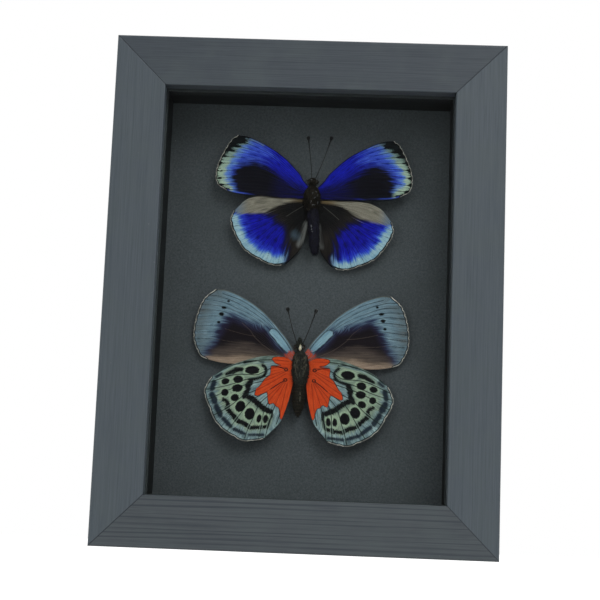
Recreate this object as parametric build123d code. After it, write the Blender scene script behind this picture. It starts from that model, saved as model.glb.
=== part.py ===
from build123d import *
import math
import os

# Butterfly display case: a deep mitred wooden frame with a glass front, dark inner walls,
# and two spread butterflies on a textured paper, closed at the back by a panel and turn buttons.
# Millimetres. X to the right, Y to the back, Z up. The origin is the middle of the base.

# ---------------------------------------------------------------- driving dimensions
case_width = 127.0
case_height = 165.0

# rail section
rail_face = 16.4            # width of the wooden face, seen from the front
rebate_width = 6.0          # how far the lip reaches over the glass
lip_depth = 4.5             # thickness of the wood in front of the glass
arris = 0.7                 # eased edge on the outer long edges
lip_arris = 0.45            # eased edge on the lip

# what lies in the rebate, from the front
glass_thick = 2.0
display_depth = 13.7        # glass to facing paper
paper_thick = 0.3
board_thick = 4.8
panel_thick = 3.0
panel_recess = 0.3          # the panel lies this far inside the frame's back
rebate_gap = 0.5            # all round the glass, paper, board and panel
glass_seam = 0.25           # ground edge of the glass

# dark inner walls
spacer_reveal = 0.46        # how far they stand inside the lip
spacer_gap = 0.3            # to the rebate's wall

# V-nails across each mitre, driven in from the back
v_nail_leg = 4.2
v_nail_thick = 0.5
v_nail_length = 7.0
v_nail_insets = (0.8, 4.8)  # heel of each V-nail, out from the rebate's corner

# turn buttons and their screws
button_spread = 80.0        # between the upper and the lower pair
button_inset = 5.5          # screw to the frame's outer edge
button_thick = 1.2
button_root_radius = 4.2
button_tip_radius = 2.7
button_reach = 15.0         # screw to the centre of the tip's round
button_lift = 0.9           # how far the tip is bent away from the panel
button_bend = 4.0           # length of the bent stretch
screw_head_radius = 2.9
screw_head_rim = 0.4
screw_head_dome = 1.0
screw_shank_radius = 1.25
screw_length = 11.0         # in the wood
screw_slot_width = 0.7
screw_slot_depth = 0.6
screw_slot_turn = 35        # degrees
screw_point = 2.2
screw_point_radius = 1.15
screw_tip_radius = 0.15
running_gap = 0.06          # button's bore round the screw
end_gap = 0.12              # button to the wood, and to the screw's head
driven_gap = 0.05           # hole in the wood round a screw or nail

# sawtooth hanger and its nails
hanger_length = 42.0
hanger_height = 7.6
hanger_thick = 0.7
hanger_lift = 1.6           # toothed bar stands this far off the wood
hanger_tab = 7.0
hanger_ramp = 2.2
tooth_count = 9
tooth_pitch = 2.4
tooth_depth = 1.5
tooth_root = 0.24           # flat at the top of each notch
hanger_nail_inset = 3.4     # nail to the end of the plate
nail_radius = 0.65
nail_head_radius = 1.7
nail_head_rim = 0.2
nail_head_dome = 0.6
nail_tip_radius = 0.1
nail_length = 9.0
nail_point = 1.6

# pads that keep the case parallel to a wall
bumper_radius = 4.4
bumper_thick = 3.2
bumper_bevel = 0.8
bumper_spread = 78.0

# butterflies: centre of each specimen, and where the wings lie between glass and paper
upper_shift = 1.8           # right of the case's middle
upper_lift = 34.5           # above the case's middle
lower_shift = -0.4
lower_lift = -22.5
upper_body_x = 1.45         # the bodies lie a little to one side of the wings' middle
lower_body_x = -0.2
wing_height = 3.6           # crown of the wings to the facing paper
wing_thick = 0.25
wing_layer = 0.45           # front wing skin to rear wing skin
wing_camber_radius = 180.0
wing_pleat = 9.0            # height of one flat strip of the curved wing sheet
wing_pleats = 3             # strips above and below the specimen's centre
wing_slope = 2.2            # degrees that each side rises towards the tip
riser_width = 3.2
riser_length = 4.5

# bodies: radius and half length of the thorax, and its centre along the body
upper_thorax_radius = 2.9
upper_thorax_half = 4.5
upper_thorax_drop = 1.2     # below the specimen's centre
upper_head_radius = 1.55
upper_abdomen_length = 15.4
upper_abdomen_radius = 1.9
upper_abdomen_lean = -4.5   # degrees off the upright
lower_thorax_radius = 2.9
lower_thorax_half = 5.8
lower_thorax_drop = 0.7
lower_head_radius = 1.5
lower_abdomen_length = 11.0
lower_abdomen_radius = 2.1
lower_abdomen_lean = 1.5
upper_tail_shift = 0.4      # tail's root, to the side of the thorax
lower_tail_shift = -0.1
upper_tail_seat = 0.9       # tail's root, inside the thorax
lower_tail_seat = 1.0
upper_neck = 1.1            # thorax to the head's centre
lower_neck = 1.3
lower_head_shift = -0.6
abdomen_rings = 7
body_sides = 16             # flat sides round a body, and round a limb
limb_sides = 6
ring_bulge = 0.12
tail_radius = 0.5
eye_radius = 0.95
antenna_radius = 0.14
club_radius = 0.48
club_length = 1.7
leg_radius = 0.22
leg_hip_out = 0.5           # hip, knee and foot, out from the middle of the body
leg_knee_out = 2.0
leg_foot_out = 0.9
leg_hip_sink = 0.1          # and how far each lies back from the thorax's front
leg_knee_sink = 1.0
leg_foot_sink = 0.25
palp_radius = 0.48
palp_tip_radius = 0.14
palp_length = 2.9
palp_half_gap = 0.5
palp_forward = 0.7

# antennae: root, then tip, from the specimen's centre, and the sideways bow of the stalk
upper_antenna_left = ((-0.7, 5.2), (-2.3, 19.0))
upper_antenna_right = ((0.4, 5.4), (5.3, 19.2))
lower_antenna_left = ((-1.1, 7.0), (-4.6, 18.3))
lower_antenna_right = ((0.5, 7.0), (4.5, 18.0))
upper_antenna_bows = (0.2, 0.3)
lower_antenna_bows = (-0.2, 0.2)
antenna_rise = 0.8          # tip nearer the glass than the root
antenna_arch = 0.3          # and the middle nearer than a straight line

# legs: height of hip, knee and foot, from the specimen's centre
front_leg = (1.6, 3.4, -0.2)
rear_leg = (-1.2, 0.4, -3.6)

past = 1.0                  # a cut runs this far past the face that it leaves
head_sides = 20             # flat sides round the head of a screw or nail

# ---------------------------------------------------------------- planes worked out from them
case_depth = lip_depth + glass_thick + display_depth + paper_thick + board_thick + panel_thick + panel_recess
front_y = -case_depth / 2
back_y = case_depth / 2
back_face = rail_face - rebate_width            # width of the wood at the back
glass_y = front_y + lip_depth
wall_y = glass_y + glass_thick
paper_y = wall_y + display_depth
board_y = paper_y + paper_thick
panel_y = board_y + board_thick
rebate_w = case_width - 2 * back_face
rebate_h = case_height - 2 * back_face
middle_z = case_height / 2
upper_centre = (upper_shift, middle_z + upper_lift)
lower_centre = (lower_shift, middle_z + lower_lift)
body_y = paper_y - wing_height                  # the wings' crown, and the bodies' axis


# ---------------------------------------------------------------- shared shapes
def slab(face, y_low, y_high):
    """A face drawn in X and Z, as a plate from y_low to y_high."""
    return Pos(0, y_low, 0) * extrude(face, y_high - y_low, dir=(0, 1, 0))


def sheet_in_rebate(y_low, thickness, gap):
    """A rectangular sheet that fills the rebate, less the gap all round."""
    outline = Plane.XZ * Pos(0, middle_z) * Rectangle(rebate_w - 2 * gap, rebate_h - 2 * gap)
    return slab(outline, y_low, y_low + thickness)


def along_y(x, z, radius, y_low, y_high):
    """A round bar that runs from front to back."""
    return slab(Pos(x, 0, z) * (Plane.XZ * Circle(radius)), y_low, y_high)


def faceted(sections, sides):
    """A small form with flat sides about the Z axis, through sections of radius and level."""
    turns = [2 * math.pi * index / sides for index in range(sides)]
    rings = [
        [(radius * math.cos(turn), radius * math.sin(turn), level) for turn in turns]
        for radius, level in sections
    ]
    outlines = [rings[0], rings[-1]]
    for low, high in zip(rings, rings[1:]):
        for index in range(sides):
            following = (index + 1) % sides
            outlines.append([low[index], low[following], high[following], high[index]])
    return Solid(Shell([Face(Wire.make_polygon(outline)) for outline in outlines]))


def domed_head(radius, rim, dome_height):
    """Head of a screw or nail along Y, its flat underside at Y zero."""
    sections = [
        (radius, 0),
        (radius, rim),
        (radius * 0.78, rim + dome_height * 0.62),
        (radius * 0.4, rim + dome_height),
    ]
    return Rot(-90, 0, 0) * faceted(sections, head_sides)


def each_corner(shape):
    """The shape at the lower left corner, copied to all four corners."""
    right = mirror(shape, about=Plane.YZ)
    pair = [shape, right]
    level = Plane.XY.offset(middle_z)
    return pair + [mirror(item, about=level) for item in pair]


# ---------------------------------------------------------------- frame rails
def rail_profile():
    """Section of a rail, its outer edge at Z zero and its lip at the front."""
    lip_y = front_y + lip_depth
    outline = Polyline(
        (0, front_y, 0),
        (0, back_y, 0),
        (0, back_y, back_face),
        (0, lip_y, back_face),
        (0, lip_y, rail_face),
        (0, front_y, rail_face),
        close=True,
    )
    section = make_face(outline)
    for corner, radius in (
        ((0, front_y, 0), arris),
        ((0, back_y, 0), arris),
        ((0, front_y, rail_face), lip_arris),
    ):
        section = fillet(section.vertices().sort_by_distance(corner)[0], radius)
    return section


def mitred_rail(length):
    """A rail along X with both ends cut at 45 degrees."""
    bar = extrude(rail_profile(), length / 2, dir=(1, 0, 0), both=True)
    half = length / 2
    face = Plane.XZ * Polygon(
        (-half, 0),
        (half, 0),
        (half - rail_face, rail_face),
        (rail_face - half, rail_face),
        align=None,
    )
    return bar & slab(face, front_y - past, back_y + past)


def v_nails():
    """Two V-nails across each mitre, their legs along the two rails."""
    nails = []
    for inset in v_nail_insets:
        heel = back_face - inset
        outline = Plane.XZ * Polygon(
            (heel, heel),
            (heel - v_nail_leg, heel),
            (heel - v_nail_leg, heel - v_nail_thick),
            (heel - v_nail_thick, heel - v_nail_thick),
            (heel - v_nail_thick, heel - v_nail_leg),
            (heel, heel - v_nail_leg),
            align=None,
        )
        nail = Pos(-case_width / 2, 0, 0) * slab(outline, back_y - v_nail_length, back_y)
        nails += each_corner(nail)
    return nails


# ---------------------------------------------------------------- turn buttons
def button_places():
    """Side, level and name of each turn button."""
    places = []
    for level_name, level in (("upper", button_spread / 2), ("lower", -button_spread / 2)):
        for side_name, side in (("left", -1), ("right", 1)):
            places.append((side, middle_z + level, f"{level_name}_{side_name}"))
    return places


def button_x(side):
    return side * (case_width / 2 - button_inset)


def turn_button():
    """A flat steel button round the origin, reaching to -X, its tip bent outwards along Y."""
    reach = button_reach
    lean = math.acos((button_root_radius - button_tip_radius) / reach)
    root_up = (-button_root_radius * math.cos(lean), button_root_radius * math.sin(lean))
    tip_up = (-reach - button_tip_radius * math.cos(lean), button_tip_radius * math.sin(lean))
    root_down = (root_up[0], -root_up[1])
    tip_down = (tip_up[0], -tip_up[1])
    outline = Plane.XZ * make_face(
        Line(root_up, tip_up)
        + ThreePointArc(tip_up, (-reach - button_tip_radius, 0), tip_down)
        + Line(tip_down, root_down)
        + ThreePointArc(root_down, (button_root_radius, 0), root_up)
    )
    plate = slab(outline, -button_lift, button_thick + button_lift)
    end_x = -reach - button_tip_radius - past
    bend_x = -reach - button_tip_radius + button_bend
    side_view = make_face(
        Polyline(
            (button_root_radius + past, 0),
            (bend_x, 0),
            (end_x, button_lift),
            (end_x, button_thick + button_lift),
            (bend_x, button_thick),
            (button_root_radius + past, button_thick),
            close=True,
        )
    )
    bent = extrude(side_view, button_root_radius + past, both=True)
    bore = along_y(0, 0, screw_shank_radius + running_gap, -past, button_thick + past)
    return (plate & bent) - bore


def placed_button(side, z):
    button = turn_button()
    if side < 0:
        button = mirror(button, about=Plane.YZ)
    return Pos(button_x(side), back_y + end_gap, z) * button


def button_screw(side, z):
    """A round-headed slotted screw, its shank in the rail."""
    under_head = back_y + end_gap + button_thick + end_gap
    crown = under_head + screw_head_rim + screw_head_dome
    tip = back_y - screw_length
    shank = along_y(0, 0, screw_shank_radius, tip + screw_point, under_head)
    point = faceted([(screw_tip_radius, 0), (screw_point_radius, screw_point)], head_sides)
    shank += Pos(0, tip, 0) * Rot(-90, 0, 0) * point
    screw = shank + Pos(0, under_head, 0) * domed_head(screw_head_radius, screw_head_rim, screw_head_dome)
    slot_floor = crown - screw_slot_depth
    slot_plan = Plane.XZ * Rectangle(2 * (screw_head_radius + past), screw_slot_width)
    slot = Rot(0, screw_slot_turn, 0) * slab(slot_plan, slot_floor, crown + past)
    return Pos(button_x(side), 0, z) * (screw - slot)


# ---------------------------------------------------------------- hanger, nails and pads
hanger_z = case_height - back_face / 2


def hanger_nail_xs():
    reach = hanger_length / 2 - hanger_nail_inset
    return (-reach, reach)


def hanger_plate():
    """Pressed steel strip: flat tabs, two ramps and a raised bar with teeth on its lower edge."""
    half = hanger_length / 2
    tab_end = half - hanger_tab
    bar_end = tab_end - hanger_ramp
    low = back_y
    high = back_y + hanger_lift
    side_view = make_face(
        Polyline(
            (-half, low),
            (-tab_end, low),
            (-bar_end, high),
            (bar_end, high),
            (tab_end, low),
            (half, low),
            (half, low + hanger_thick),
            (tab_end - hanger_thick / 2, low + hanger_thick),
            (bar_end - hanger_thick / 2, high + hanger_thick),
            (hanger_thick / 2 - bar_end, high + hanger_thick),
            (hanger_thick / 2 - tab_end, low + hanger_thick),
            (-half, low + hanger_thick),
            close=True,
        )
    )
    strip = Pos(0, 0, hanger_z) * extrude(side_view, hanger_height / 2, both=True)
    edge_z = hanger_z - hanger_height / 2
    for index in range(tooth_count):
        tooth_x = (index - (tooth_count - 1) / 2) * tooth_pitch
        notch = Plane.XZ * Polygon(
            (tooth_x - tooth_pitch / 2, edge_z),
            (tooth_x + tooth_pitch / 2, edge_z),
            (tooth_x + tooth_root / 2, edge_z + tooth_depth),
            (tooth_x - tooth_root / 2, edge_z + tooth_depth),
            align=None,
        )
        strip -= slab(notch, back_y, back_y + hanger_lift + hanger_thick + past)
    for x in hanger_nail_xs():
        strip -= along_y(x, hanger_z, nail_radius + driven_gap, back_y - past, back_y + hanger_thick + past)
    return strip


def hanger_nail(x):
    """A small nail with a domed head."""
    shank = faceted(
        [(nail_tip_radius, -nail_length - hanger_thick), (nail_radius, nail_point - nail_length), (nail_radius, 0)],
        head_sides,
    )
    nail = Rot(-90, 0, 0) * shank + domed_head(nail_head_radius, nail_head_rim, nail_head_dome)
    return Pos(x, back_y + hanger_thick, hanger_z) * nail


def wall_bumper(x):
    """A round pad with a bevelled edge."""
    pad = along_y(x, back_face / 2, bumper_radius, back_y, back_y + bumper_thick)
    return chamfer(pad.edges().group_by(Axis.Y)[-1], bumper_bevel)


# ---------------------------------------------------------------- butterflies
# Wing outlines of a right-hand wing, from the specimen's centre: leading edge, outer margin, rear edge.
upper_forewing = (
    ((1.0, 2.2), (3.3, 4.6), (5.4, 7.6), (11.3, 13.1), (18.2, 17.1), (23.0, 18.9), (25.9, 19.1)),
    ((25.9, 19.1), (28.3, 16.8), (31.4, 10.0), (32.3, 5.1), (31.4, 1.9), (28.4, 0.0)),
    ((28.4, 0.0), (24.6, -0.8), (12.1, -1.4), (1.0, -1.2)),
)
upper_hindwing = (
    ((1.0, -1.5), (3.6, -1.6), (16.5, -2.0), (20.2, -3.0), (23.0, -4.6), (25.9, -8.4), (26.6, -11.8)),
    ((26.6, -11.8), (24.8, -15.7), (21.4, -20.1), (18.5, -21.9), (13.2, -23.9), (10.6, -24.3)),
    ((10.6, -24.3), (6.0, -22.9), (2.7, -18.0), (1.6, -12.3), (1.0, -4.6)),
)
lower_forewing = (
    ((1.0, 3.6), (2.7, 6.4), (5.5, 10.2), (12.5, 17.2), (19.1, 21.4), (25.3, 23.7), (28.7, 23.7)),
    ((28.7, 23.7), (32.4, 20.3), (34.5, 14.1), (34.8, 7.6), (32.5, 2.4), (30.1, 0.9)),
    ((30.1, 0.9), (25.9, 0.1), (20.6, -0.1), (11.0, 0.2), (1.0, 0.4)),
)
lower_hindwing = (
    ((1.0, 0.2), (4.8, 2.6), (9.0, 3.0), (14.9, 1.9), (23.7, -1.7), (28.7, -5.7), (30.4, -10.2)),
    ((30.4, -10.2), (28.6, -14.8), (25.0, -20.7), (19.3, -24.2), (15.4, -25.3), (9.9, -24.2)),
    ((9.9, -24.2), (5.6, -19.2), (4.3, -16.2), (3.0, -11.2), (2.4, -6.3), (1.0, -4.4)),
)

# How far each left wing is set off the mirror image of the right one: degrees raised, then X and Z.
left_upper_fore_pose = (1.1, 0.0, 0.0)
left_upper_hind_pose = (5.7, 0.9, -0.3)
left_lower_fore_pose = (1.9, -0.4, -0.4)
left_lower_hind_pose = (3.2, 0.4, -0.3)
mirrored = (0.0, 0.0, 0.0)


def wing_plan(outline, side, pose, centre):
    """The wing's outline in X and Z, at its place."""
    curves = [Spline(*edge) for edge in outline]
    ends = outline[-1][-1], outline[0][0]
    plan = Plane.XZ * make_face(curves + [Line(*ends)])
    if side < 0:
        plan = mirror(plan, about=Plane.YZ)
    raised, shift_x, shift_z = pose
    return Pos(centre[0] + shift_x, 0, centre[1] + shift_z) * Rot(0, raised, 0) * plan


def wing_skin(side, centre, crown, bulges_forward):
    """A thin sheet, lightly pleated to a curve, that the wings of one side are cut from."""
    toward = 1 if bulges_forward else -1
    levels = [wing_pleat * step for step in range(-wing_pleats, wing_pleats + 1)]
    curve = [(toward * z * z / (2 * wing_camber_radius), z) for z in levels]
    front = [(y - wing_thick / 2, z) for y, z in curve]
    rear = [(y + wing_thick / 2, z) for y, z in reversed(curve)]
    section = Plane.YZ * make_face(Polyline(*front, *rear, close=True))
    level = extrude(section, case_width, both=True)
    tilt = side * toward * wing_slope
    return Pos(centre[0], crown, centre[1]) * Rot(0, 0, -tilt) * level


def wing(outline, side, pose, centre, crown, bulges_forward, body):
    """One wing, cut away where it meets the body."""
    plan = wing_plan(outline, side, pose, centre)
    blank = slab(plan, wall_y, paper_y) & wing_skin(side, centre, crown, bulges_forward)
    for piece in body:
        blank -= piece
    return blank


def thorax(x, z, radius, half):
    """Egg-shaped middle of the body."""
    turns = [math.radians(angle) for angle in (-78, -60, -36, -12, 12, 36, 60, 78)]
    egg = faceted([(radius * math.cos(turn), half * math.sin(turn)) for turn in turns], body_sides)
    return Pos(x, body_y, z) * egg


def abdomen(top, length, radius, lean):
    """Tapered tail of the body: bulging rings that close to a blunt end."""
    steps = 2 * abdomen_rings
    sections = []
    for index in range(steps):
        along = index / steps
        bulge = ring_bulge if index % 2 else 0
        sections.append((radius * math.sqrt(1 - along ** 3.2) + bulge, -along * length))
    sections.append((tail_radius, -length))
    return Pos(top[0], body_y, top[1]) * Rot(0, lean, 0) * faceted(sections, body_sides)


def head(x, z, radius):
    """Head drawn about the line through its eyes, which bulge at both sides."""
    eye_x = radius * 0.78
    half = [
        (radius * 0.98, eye_x * 0.2),
        (radius * 0.9, eye_x * 0.5),
        (eye_radius * 0.98, eye_x * 0.66),
        (eye_radius * 0.94, eye_x + eye_radius * 0.35),
        (eye_radius * 0.4, eye_x + eye_radius * 0.95),
    ]
    sections = [(across, -along) for across, along in reversed(half)] + half
    return Pos(x, body_y, z) * Rot(0, 90, 0) * faceted(sections, body_sides)


def antenna(centre, ends, bow, socket):
    """A thin stalk with a small bow, ending in a drop-shaped club."""
    root, tip = ends
    start = Vector(centre[0] + root[0], body_y, centre[1] + root[1])
    end = Vector(centre[0] + tip[0], body_y - antenna_rise, centre[1] + tip[1])
    middle = (start + end) * 0.5 + Vector(bow, -antenna_arch, 0)
    path = Polyline(start, middle, end)
    section = Plane(origin=start, z_dir=path % 0) * RegularPolygon(antenna_radius, limb_sides)
    stalk = sweep(section, path, transition=Transition.RIGHT)
    drop = faceted([
        (antenna_radius, -club_length * 0.5),
        (club_radius * 0.8, -club_length * 0.1),
        (club_radius, club_length * 0.2),
        (club_radius * 0.5, club_length * 0.5),
    ], limb_sides)
    club = Plane(origin=end, z_dir=path % 1) * drop
    return (stalk + club) - socket


def riser(x, z, body):
    """Small foam block between the thorax and the paper."""
    plan = Pos(x, 0, z) * (Plane.XZ * Rectangle(riser_width, riser_length))
    return slab(plan, body_y, paper_y) - body


def palp(x, z):
    """Short tapered feeler beside the mouth."""
    blade = faceted([(palp_radius, 0), (palp_tip_radius, palp_length)], limb_sides)
    return Pos(x, body_y - palp_forward, z) * blade


def leg(side, levels, centre, body):
    """A leg folded flat against the thorax: thigh out to the knee, shin back to the middle."""
    depth = body_y - lower_thorax_radius - leg_radius * 0.4
    hip, knee, foot = (
        Vector(lower_body_x + side * out, depth + sink, centre[1] + level)
        for out, sink, level in zip(
            (leg_hip_out, leg_knee_out, leg_foot_out),
            (leg_hip_sink, leg_knee_sink, leg_foot_sink),
            levels,
        )
    )
    path = Polyline(hip, knee, foot)
    section = Plane(origin=hip, z_dir=path % 0) * RegularPolygon(leg_radius, limb_sides)
    rod = sweep(section, path, transition=Transition.RIGHT)
    return rod - body


# ---------------------------------------------------------------- assembly
nodes = {}

rail_wood = {
    "rail_bottom": mitred_rail(case_width),
    "rail_top": Pos(0, 0, case_height) * Rot(0, 180, 0) * mitred_rail(case_width),
    "rail_left": Pos(-case_width / 2, 0, middle_z) * Rot(0, 90, 0) * mitred_rail(case_height),
    "rail_right": Pos(case_width / 2, 0, middle_z) * Rot(0, -90, 0) * mitred_rail(case_height),
}

nail_set = v_nails()
for name in rail_wood:
    for nail in nail_set:
        rail_wood[name] -= nail
for side, z, name in button_places():
    rail = "rail_left" if side < 0 else "rail_right"
    hole = along_y(button_x(side), z, screw_shank_radius + driven_gap, back_y - screw_length, back_y + past)
    rail_wood[rail] -= hole
for x in hanger_nail_xs():
    rail_wood["rail_top"] -= along_y(x, hanger_z, nail_radius + driven_gap, back_y - nail_length, back_y + past)
nodes.update(rail_wood)
nodes["corner_v_nails"] = Compound(children=nail_set)

glass = sheet_in_rebate(glass_y, glass_thick, rebate_gap)
nodes["glass_pane"] = chamfer(glass.edges(), glass_seam)

wall_thick = rebate_width + spacer_reveal - spacer_gap
wall_w = rebate_w - 2 * spacer_gap
wall_h = rebate_h - 2 * spacer_gap
for name, z in (("spacer_bottom", middle_z - wall_h / 2 + wall_thick / 2),
                ("spacer_top", middle_z + wall_h / 2 - wall_thick / 2)):
    nodes[name] = slab(Plane.XZ * Pos(0, z) * Rectangle(wall_w, wall_thick), wall_y, paper_y)
for name, side in (("spacer_left", -1), ("spacer_right", 1)):
    x = side * (wall_w / 2 - wall_thick / 2)
    upright = Plane.XZ * Pos(x, middle_z) * Rectangle(wall_thick, wall_h - 2 * wall_thick)
    nodes[name] = slab(upright, wall_y, paper_y)

nodes["facing_paper"] = sheet_in_rebate(paper_y, paper_thick, rebate_gap)
nodes["mount_board"] = sheet_in_rebate(board_y, board_thick, rebate_gap)
nodes["back_panel"] = sheet_in_rebate(panel_y, panel_thick, rebate_gap)

for side, z, name in button_places():
    nodes[f"turn_button_{name}"] = placed_button(side, z)
nodes["button_screws"] = Compound(children=[button_screw(side, z) for side, z, name in button_places()])
nodes["hanger_plate"] = hanger_plate()
nodes["hanger_nails"] = Compound(children=[hanger_nail(x) for x in hanger_nail_xs()])
nodes["wall_bumpers"] = Compound(children=[wall_bumper(x) for x in (-bumper_spread / 2, bumper_spread / 2)])

# upper butterfly, seen from above: forewings in front, wings bulging towards the glass
thorax_z = upper_centre[1] - upper_thorax_drop
upper_thorax = thorax(upper_body_x, thorax_z, upper_thorax_radius, upper_thorax_half)
tail_top = (upper_body_x + upper_tail_shift, thorax_z - upper_thorax_half + upper_tail_seat)
upper_abdomen = abdomen(tail_top, upper_abdomen_length, upper_abdomen_radius, upper_abdomen_lean) - upper_thorax
upper_head = head(upper_body_x, thorax_z + upper_thorax_half + upper_neck, upper_head_radius) - upper_thorax
nodes["upper_thorax"] = upper_thorax
nodes["upper_abdomen"] = upper_abdomen
nodes["upper_head"] = upper_head
nodes["upper_antennae"] = Compound(children=[
    antenna(upper_centre, ends, bow, upper_head)
    for ends, bow in zip((upper_antenna_left, upper_antenna_right), upper_antenna_bows)
])
upper_body = (upper_thorax, upper_abdomen, upper_head)
for label, outline, crown, pose in (
    ("forewing", upper_forewing, body_y, left_upper_fore_pose),
    ("hindwing", upper_hindwing, body_y + wing_layer, left_upper_hind_pose),
):
    nodes[f"upper_{label}_left"] = wing(outline, -1, pose, upper_centre, crown, True, upper_body)
    nodes[f"upper_{label}_right"] = wing(outline, 1, mirrored, upper_centre, crown, True, upper_body)
nodes["upper_riser"] = riser(upper_body_x, thorax_z, upper_thorax)

# lower butterfly, seen from beneath: hindwings in front, wings hollow towards the glass
thorax_z = lower_centre[1] - lower_thorax_drop
lower_thorax = thorax(lower_body_x, thorax_z, lower_thorax_radius, lower_thorax_half)
tail_top = (lower_body_x + lower_tail_shift, thorax_z - lower_thorax_half + lower_tail_seat)
lower_abdomen = abdomen(tail_top, lower_abdomen_length, lower_abdomen_radius, lower_abdomen_lean) - lower_thorax
head_x = lower_body_x + lower_head_shift
head_z = thorax_z + lower_thorax_half + lower_neck
lower_head = head(head_x, head_z, lower_head_radius) - lower_thorax
nodes["lower_thorax"] = lower_thorax
nodes["lower_abdomen"] = lower_abdomen
nodes["lower_head"] = lower_head
nodes["lower_palps"] = Compound(children=[
    palp(head_x + side * palp_half_gap, head_z) - lower_head for side in (-1, 1)
])
nodes["lower_antennae"] = Compound(children=[
    antenna(lower_centre, ends, bow, lower_head)
    for ends, bow in zip((lower_antenna_left, lower_antenna_right), lower_antenna_bows)
])
nodes["lower_legs"] = Compound(children=[
    leg(side, levels, lower_centre, lower_thorax) for side in (-1, 1) for levels in (front_leg, rear_leg)
])
lower_body = (lower_thorax, lower_abdomen, lower_head)
for label, outline, crown, pose in (
    ("forewing", lower_forewing, body_y + wing_layer, left_lower_fore_pose),
    ("hindwing", lower_hindwing, body_y, left_lower_hind_pose),
):
    nodes[f"lower_{label}_left"] = wing(outline, -1, pose, lower_centre, crown, False, lower_body)
    nodes[f"lower_{label}_right"] = wing(outline, 1, mirrored, lower_centre, crown, False, lower_body)
nodes["lower_riser"] = riser(lower_body_x, thorax_z, lower_thorax)

os.makedirs("parts", exist_ok=True)
for name, shape in nodes.items():
    export_step(shape, f"parts/{name}.step")
    print(name, len(shape.solids()), round(shape.volume, 2))
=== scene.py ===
import math
import bpy
import numpy as np
from mathutils import Matrix, Vector
from mathutils.noise import fractal


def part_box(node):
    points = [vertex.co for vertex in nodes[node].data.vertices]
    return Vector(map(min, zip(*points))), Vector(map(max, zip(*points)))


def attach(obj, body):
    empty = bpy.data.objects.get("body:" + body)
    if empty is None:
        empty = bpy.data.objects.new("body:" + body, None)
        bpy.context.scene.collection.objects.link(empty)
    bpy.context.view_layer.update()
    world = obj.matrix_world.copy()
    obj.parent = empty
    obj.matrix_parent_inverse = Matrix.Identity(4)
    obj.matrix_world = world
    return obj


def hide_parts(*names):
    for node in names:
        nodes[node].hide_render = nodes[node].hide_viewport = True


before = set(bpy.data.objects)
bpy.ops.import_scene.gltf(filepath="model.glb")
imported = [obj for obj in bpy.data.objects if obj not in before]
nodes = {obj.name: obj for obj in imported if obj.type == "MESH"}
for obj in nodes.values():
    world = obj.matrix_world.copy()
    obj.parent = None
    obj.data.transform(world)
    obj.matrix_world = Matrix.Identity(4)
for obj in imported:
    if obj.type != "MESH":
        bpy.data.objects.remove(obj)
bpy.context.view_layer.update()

# ---------------------------------------------------------------- studio
# The case stands on a white floor against white. The camera looks up at it from just above
# the floor, a little to the right of its middle and a little tilted, as a hand holds it.
scene = bpy.context.scene
scene.view_settings.view_transform = "Standard"
MM = 0.001
CAMERA_PLACE = Vector((14.8, -481.9, 2.7)) * MM
CAMERA_AZIMUTH = math.radians(1.898)
CAMERA_ELEVATION = math.radians(-9.282)
CAMERA_ROLL = math.radians(2.246)

lens = bpy.data.cameras.new("camera")
lens.sensor_width = 36.0
lens.lens = 90.0
lens.clip_start = 0.01
camera = bpy.data.objects.new("camera", lens)
scene.collection.objects.link(camera)
aim = Matrix.Rotation(CAMERA_AZIMUTH, 4, "Z") @ Matrix.Rotation(math.pi / 2 - CAMERA_ELEVATION, 4, "X")
camera.matrix_world = Matrix.Translation(CAMERA_PLACE) @ aim @ Matrix.Rotation(CAMERA_ROLL, 4, "Z")
scene.camera = camera


def put(tree, kind, sockets=None, **settings):
    """A shader node of that kind. A socket takes a number, a colour or another node's output."""
    node = tree.nodes.new("ShaderNode" + kind)
    for name, value in settings.items():
        setattr(node, name, value)
    for name, value in (sockets or {}).items():
        if isinstance(value, bpy.types.NodeSocket):
            tree.links.new(value, node.inputs[name])
        else:
            node.inputs[name].default_value = value
    return node


def sums(tree, operation, *values):
    """The output of a Math node."""
    return put(tree, "Math", dict(enumerate(values)), operation=operation).outputs[0]


def tone(red, green, blue):
    """A colour as it is read off a screen, 0 to 255, as Blender's linear colour."""
    levels = [level / 255 for level in (red, green, blue)]
    return tuple(level / 12.92 if level < 0.04045 else ((level + 0.055) / 1.055) ** 2.4 for level in levels) + (1.0,)


AMBIENT = 0.56
BACKDROP = 1.0
FRONT_DIM = 0.035           # what glass and metal mirror from the camera's side of the room
FRONT_REACH = 0.9           # how far out the floor has dimmed to that, in metres
FLOOR_GLOW = 0.85           # with the lamplight on the floor this makes white
world = bpy.data.worlds.new("studio")
scene.world = world
world.use_nodes = True
tree = world.node_tree
tree.nodes.clear()
rays = put(tree, "LightPath")
mirrored = sums(tree, "MAXIMUM", rays.outputs["Is Glossy Ray"], rays.outputs["Is Transmission Ray"])
way = put(tree, "SeparateXYZ", {0: put(tree, "TexCoord").outputs["Generated"]}).outputs["Y"]
room = put(tree, "MapRange", {"Value": way, "From Min": -0.55, "From Max": 0.25,
                              "To Min": FRONT_DIM, "To Max": BACKDROP}).outputs["Result"]
level = put(tree, "Mix", {0: mirrored, 2: AMBIENT, 3: room}).outputs[0]
level = put(tree, "Mix", {0: rays.outputs["Is Camera Ray"], 2: level, 3: BACKDROP}).outputs[0]
sky = put(tree, "Background", {"Color": (1, 1, 1, 1), "Strength": level})
tree.links.new(sky.outputs[0], put(tree, "OutputWorld").inputs["Surface"])

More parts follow.
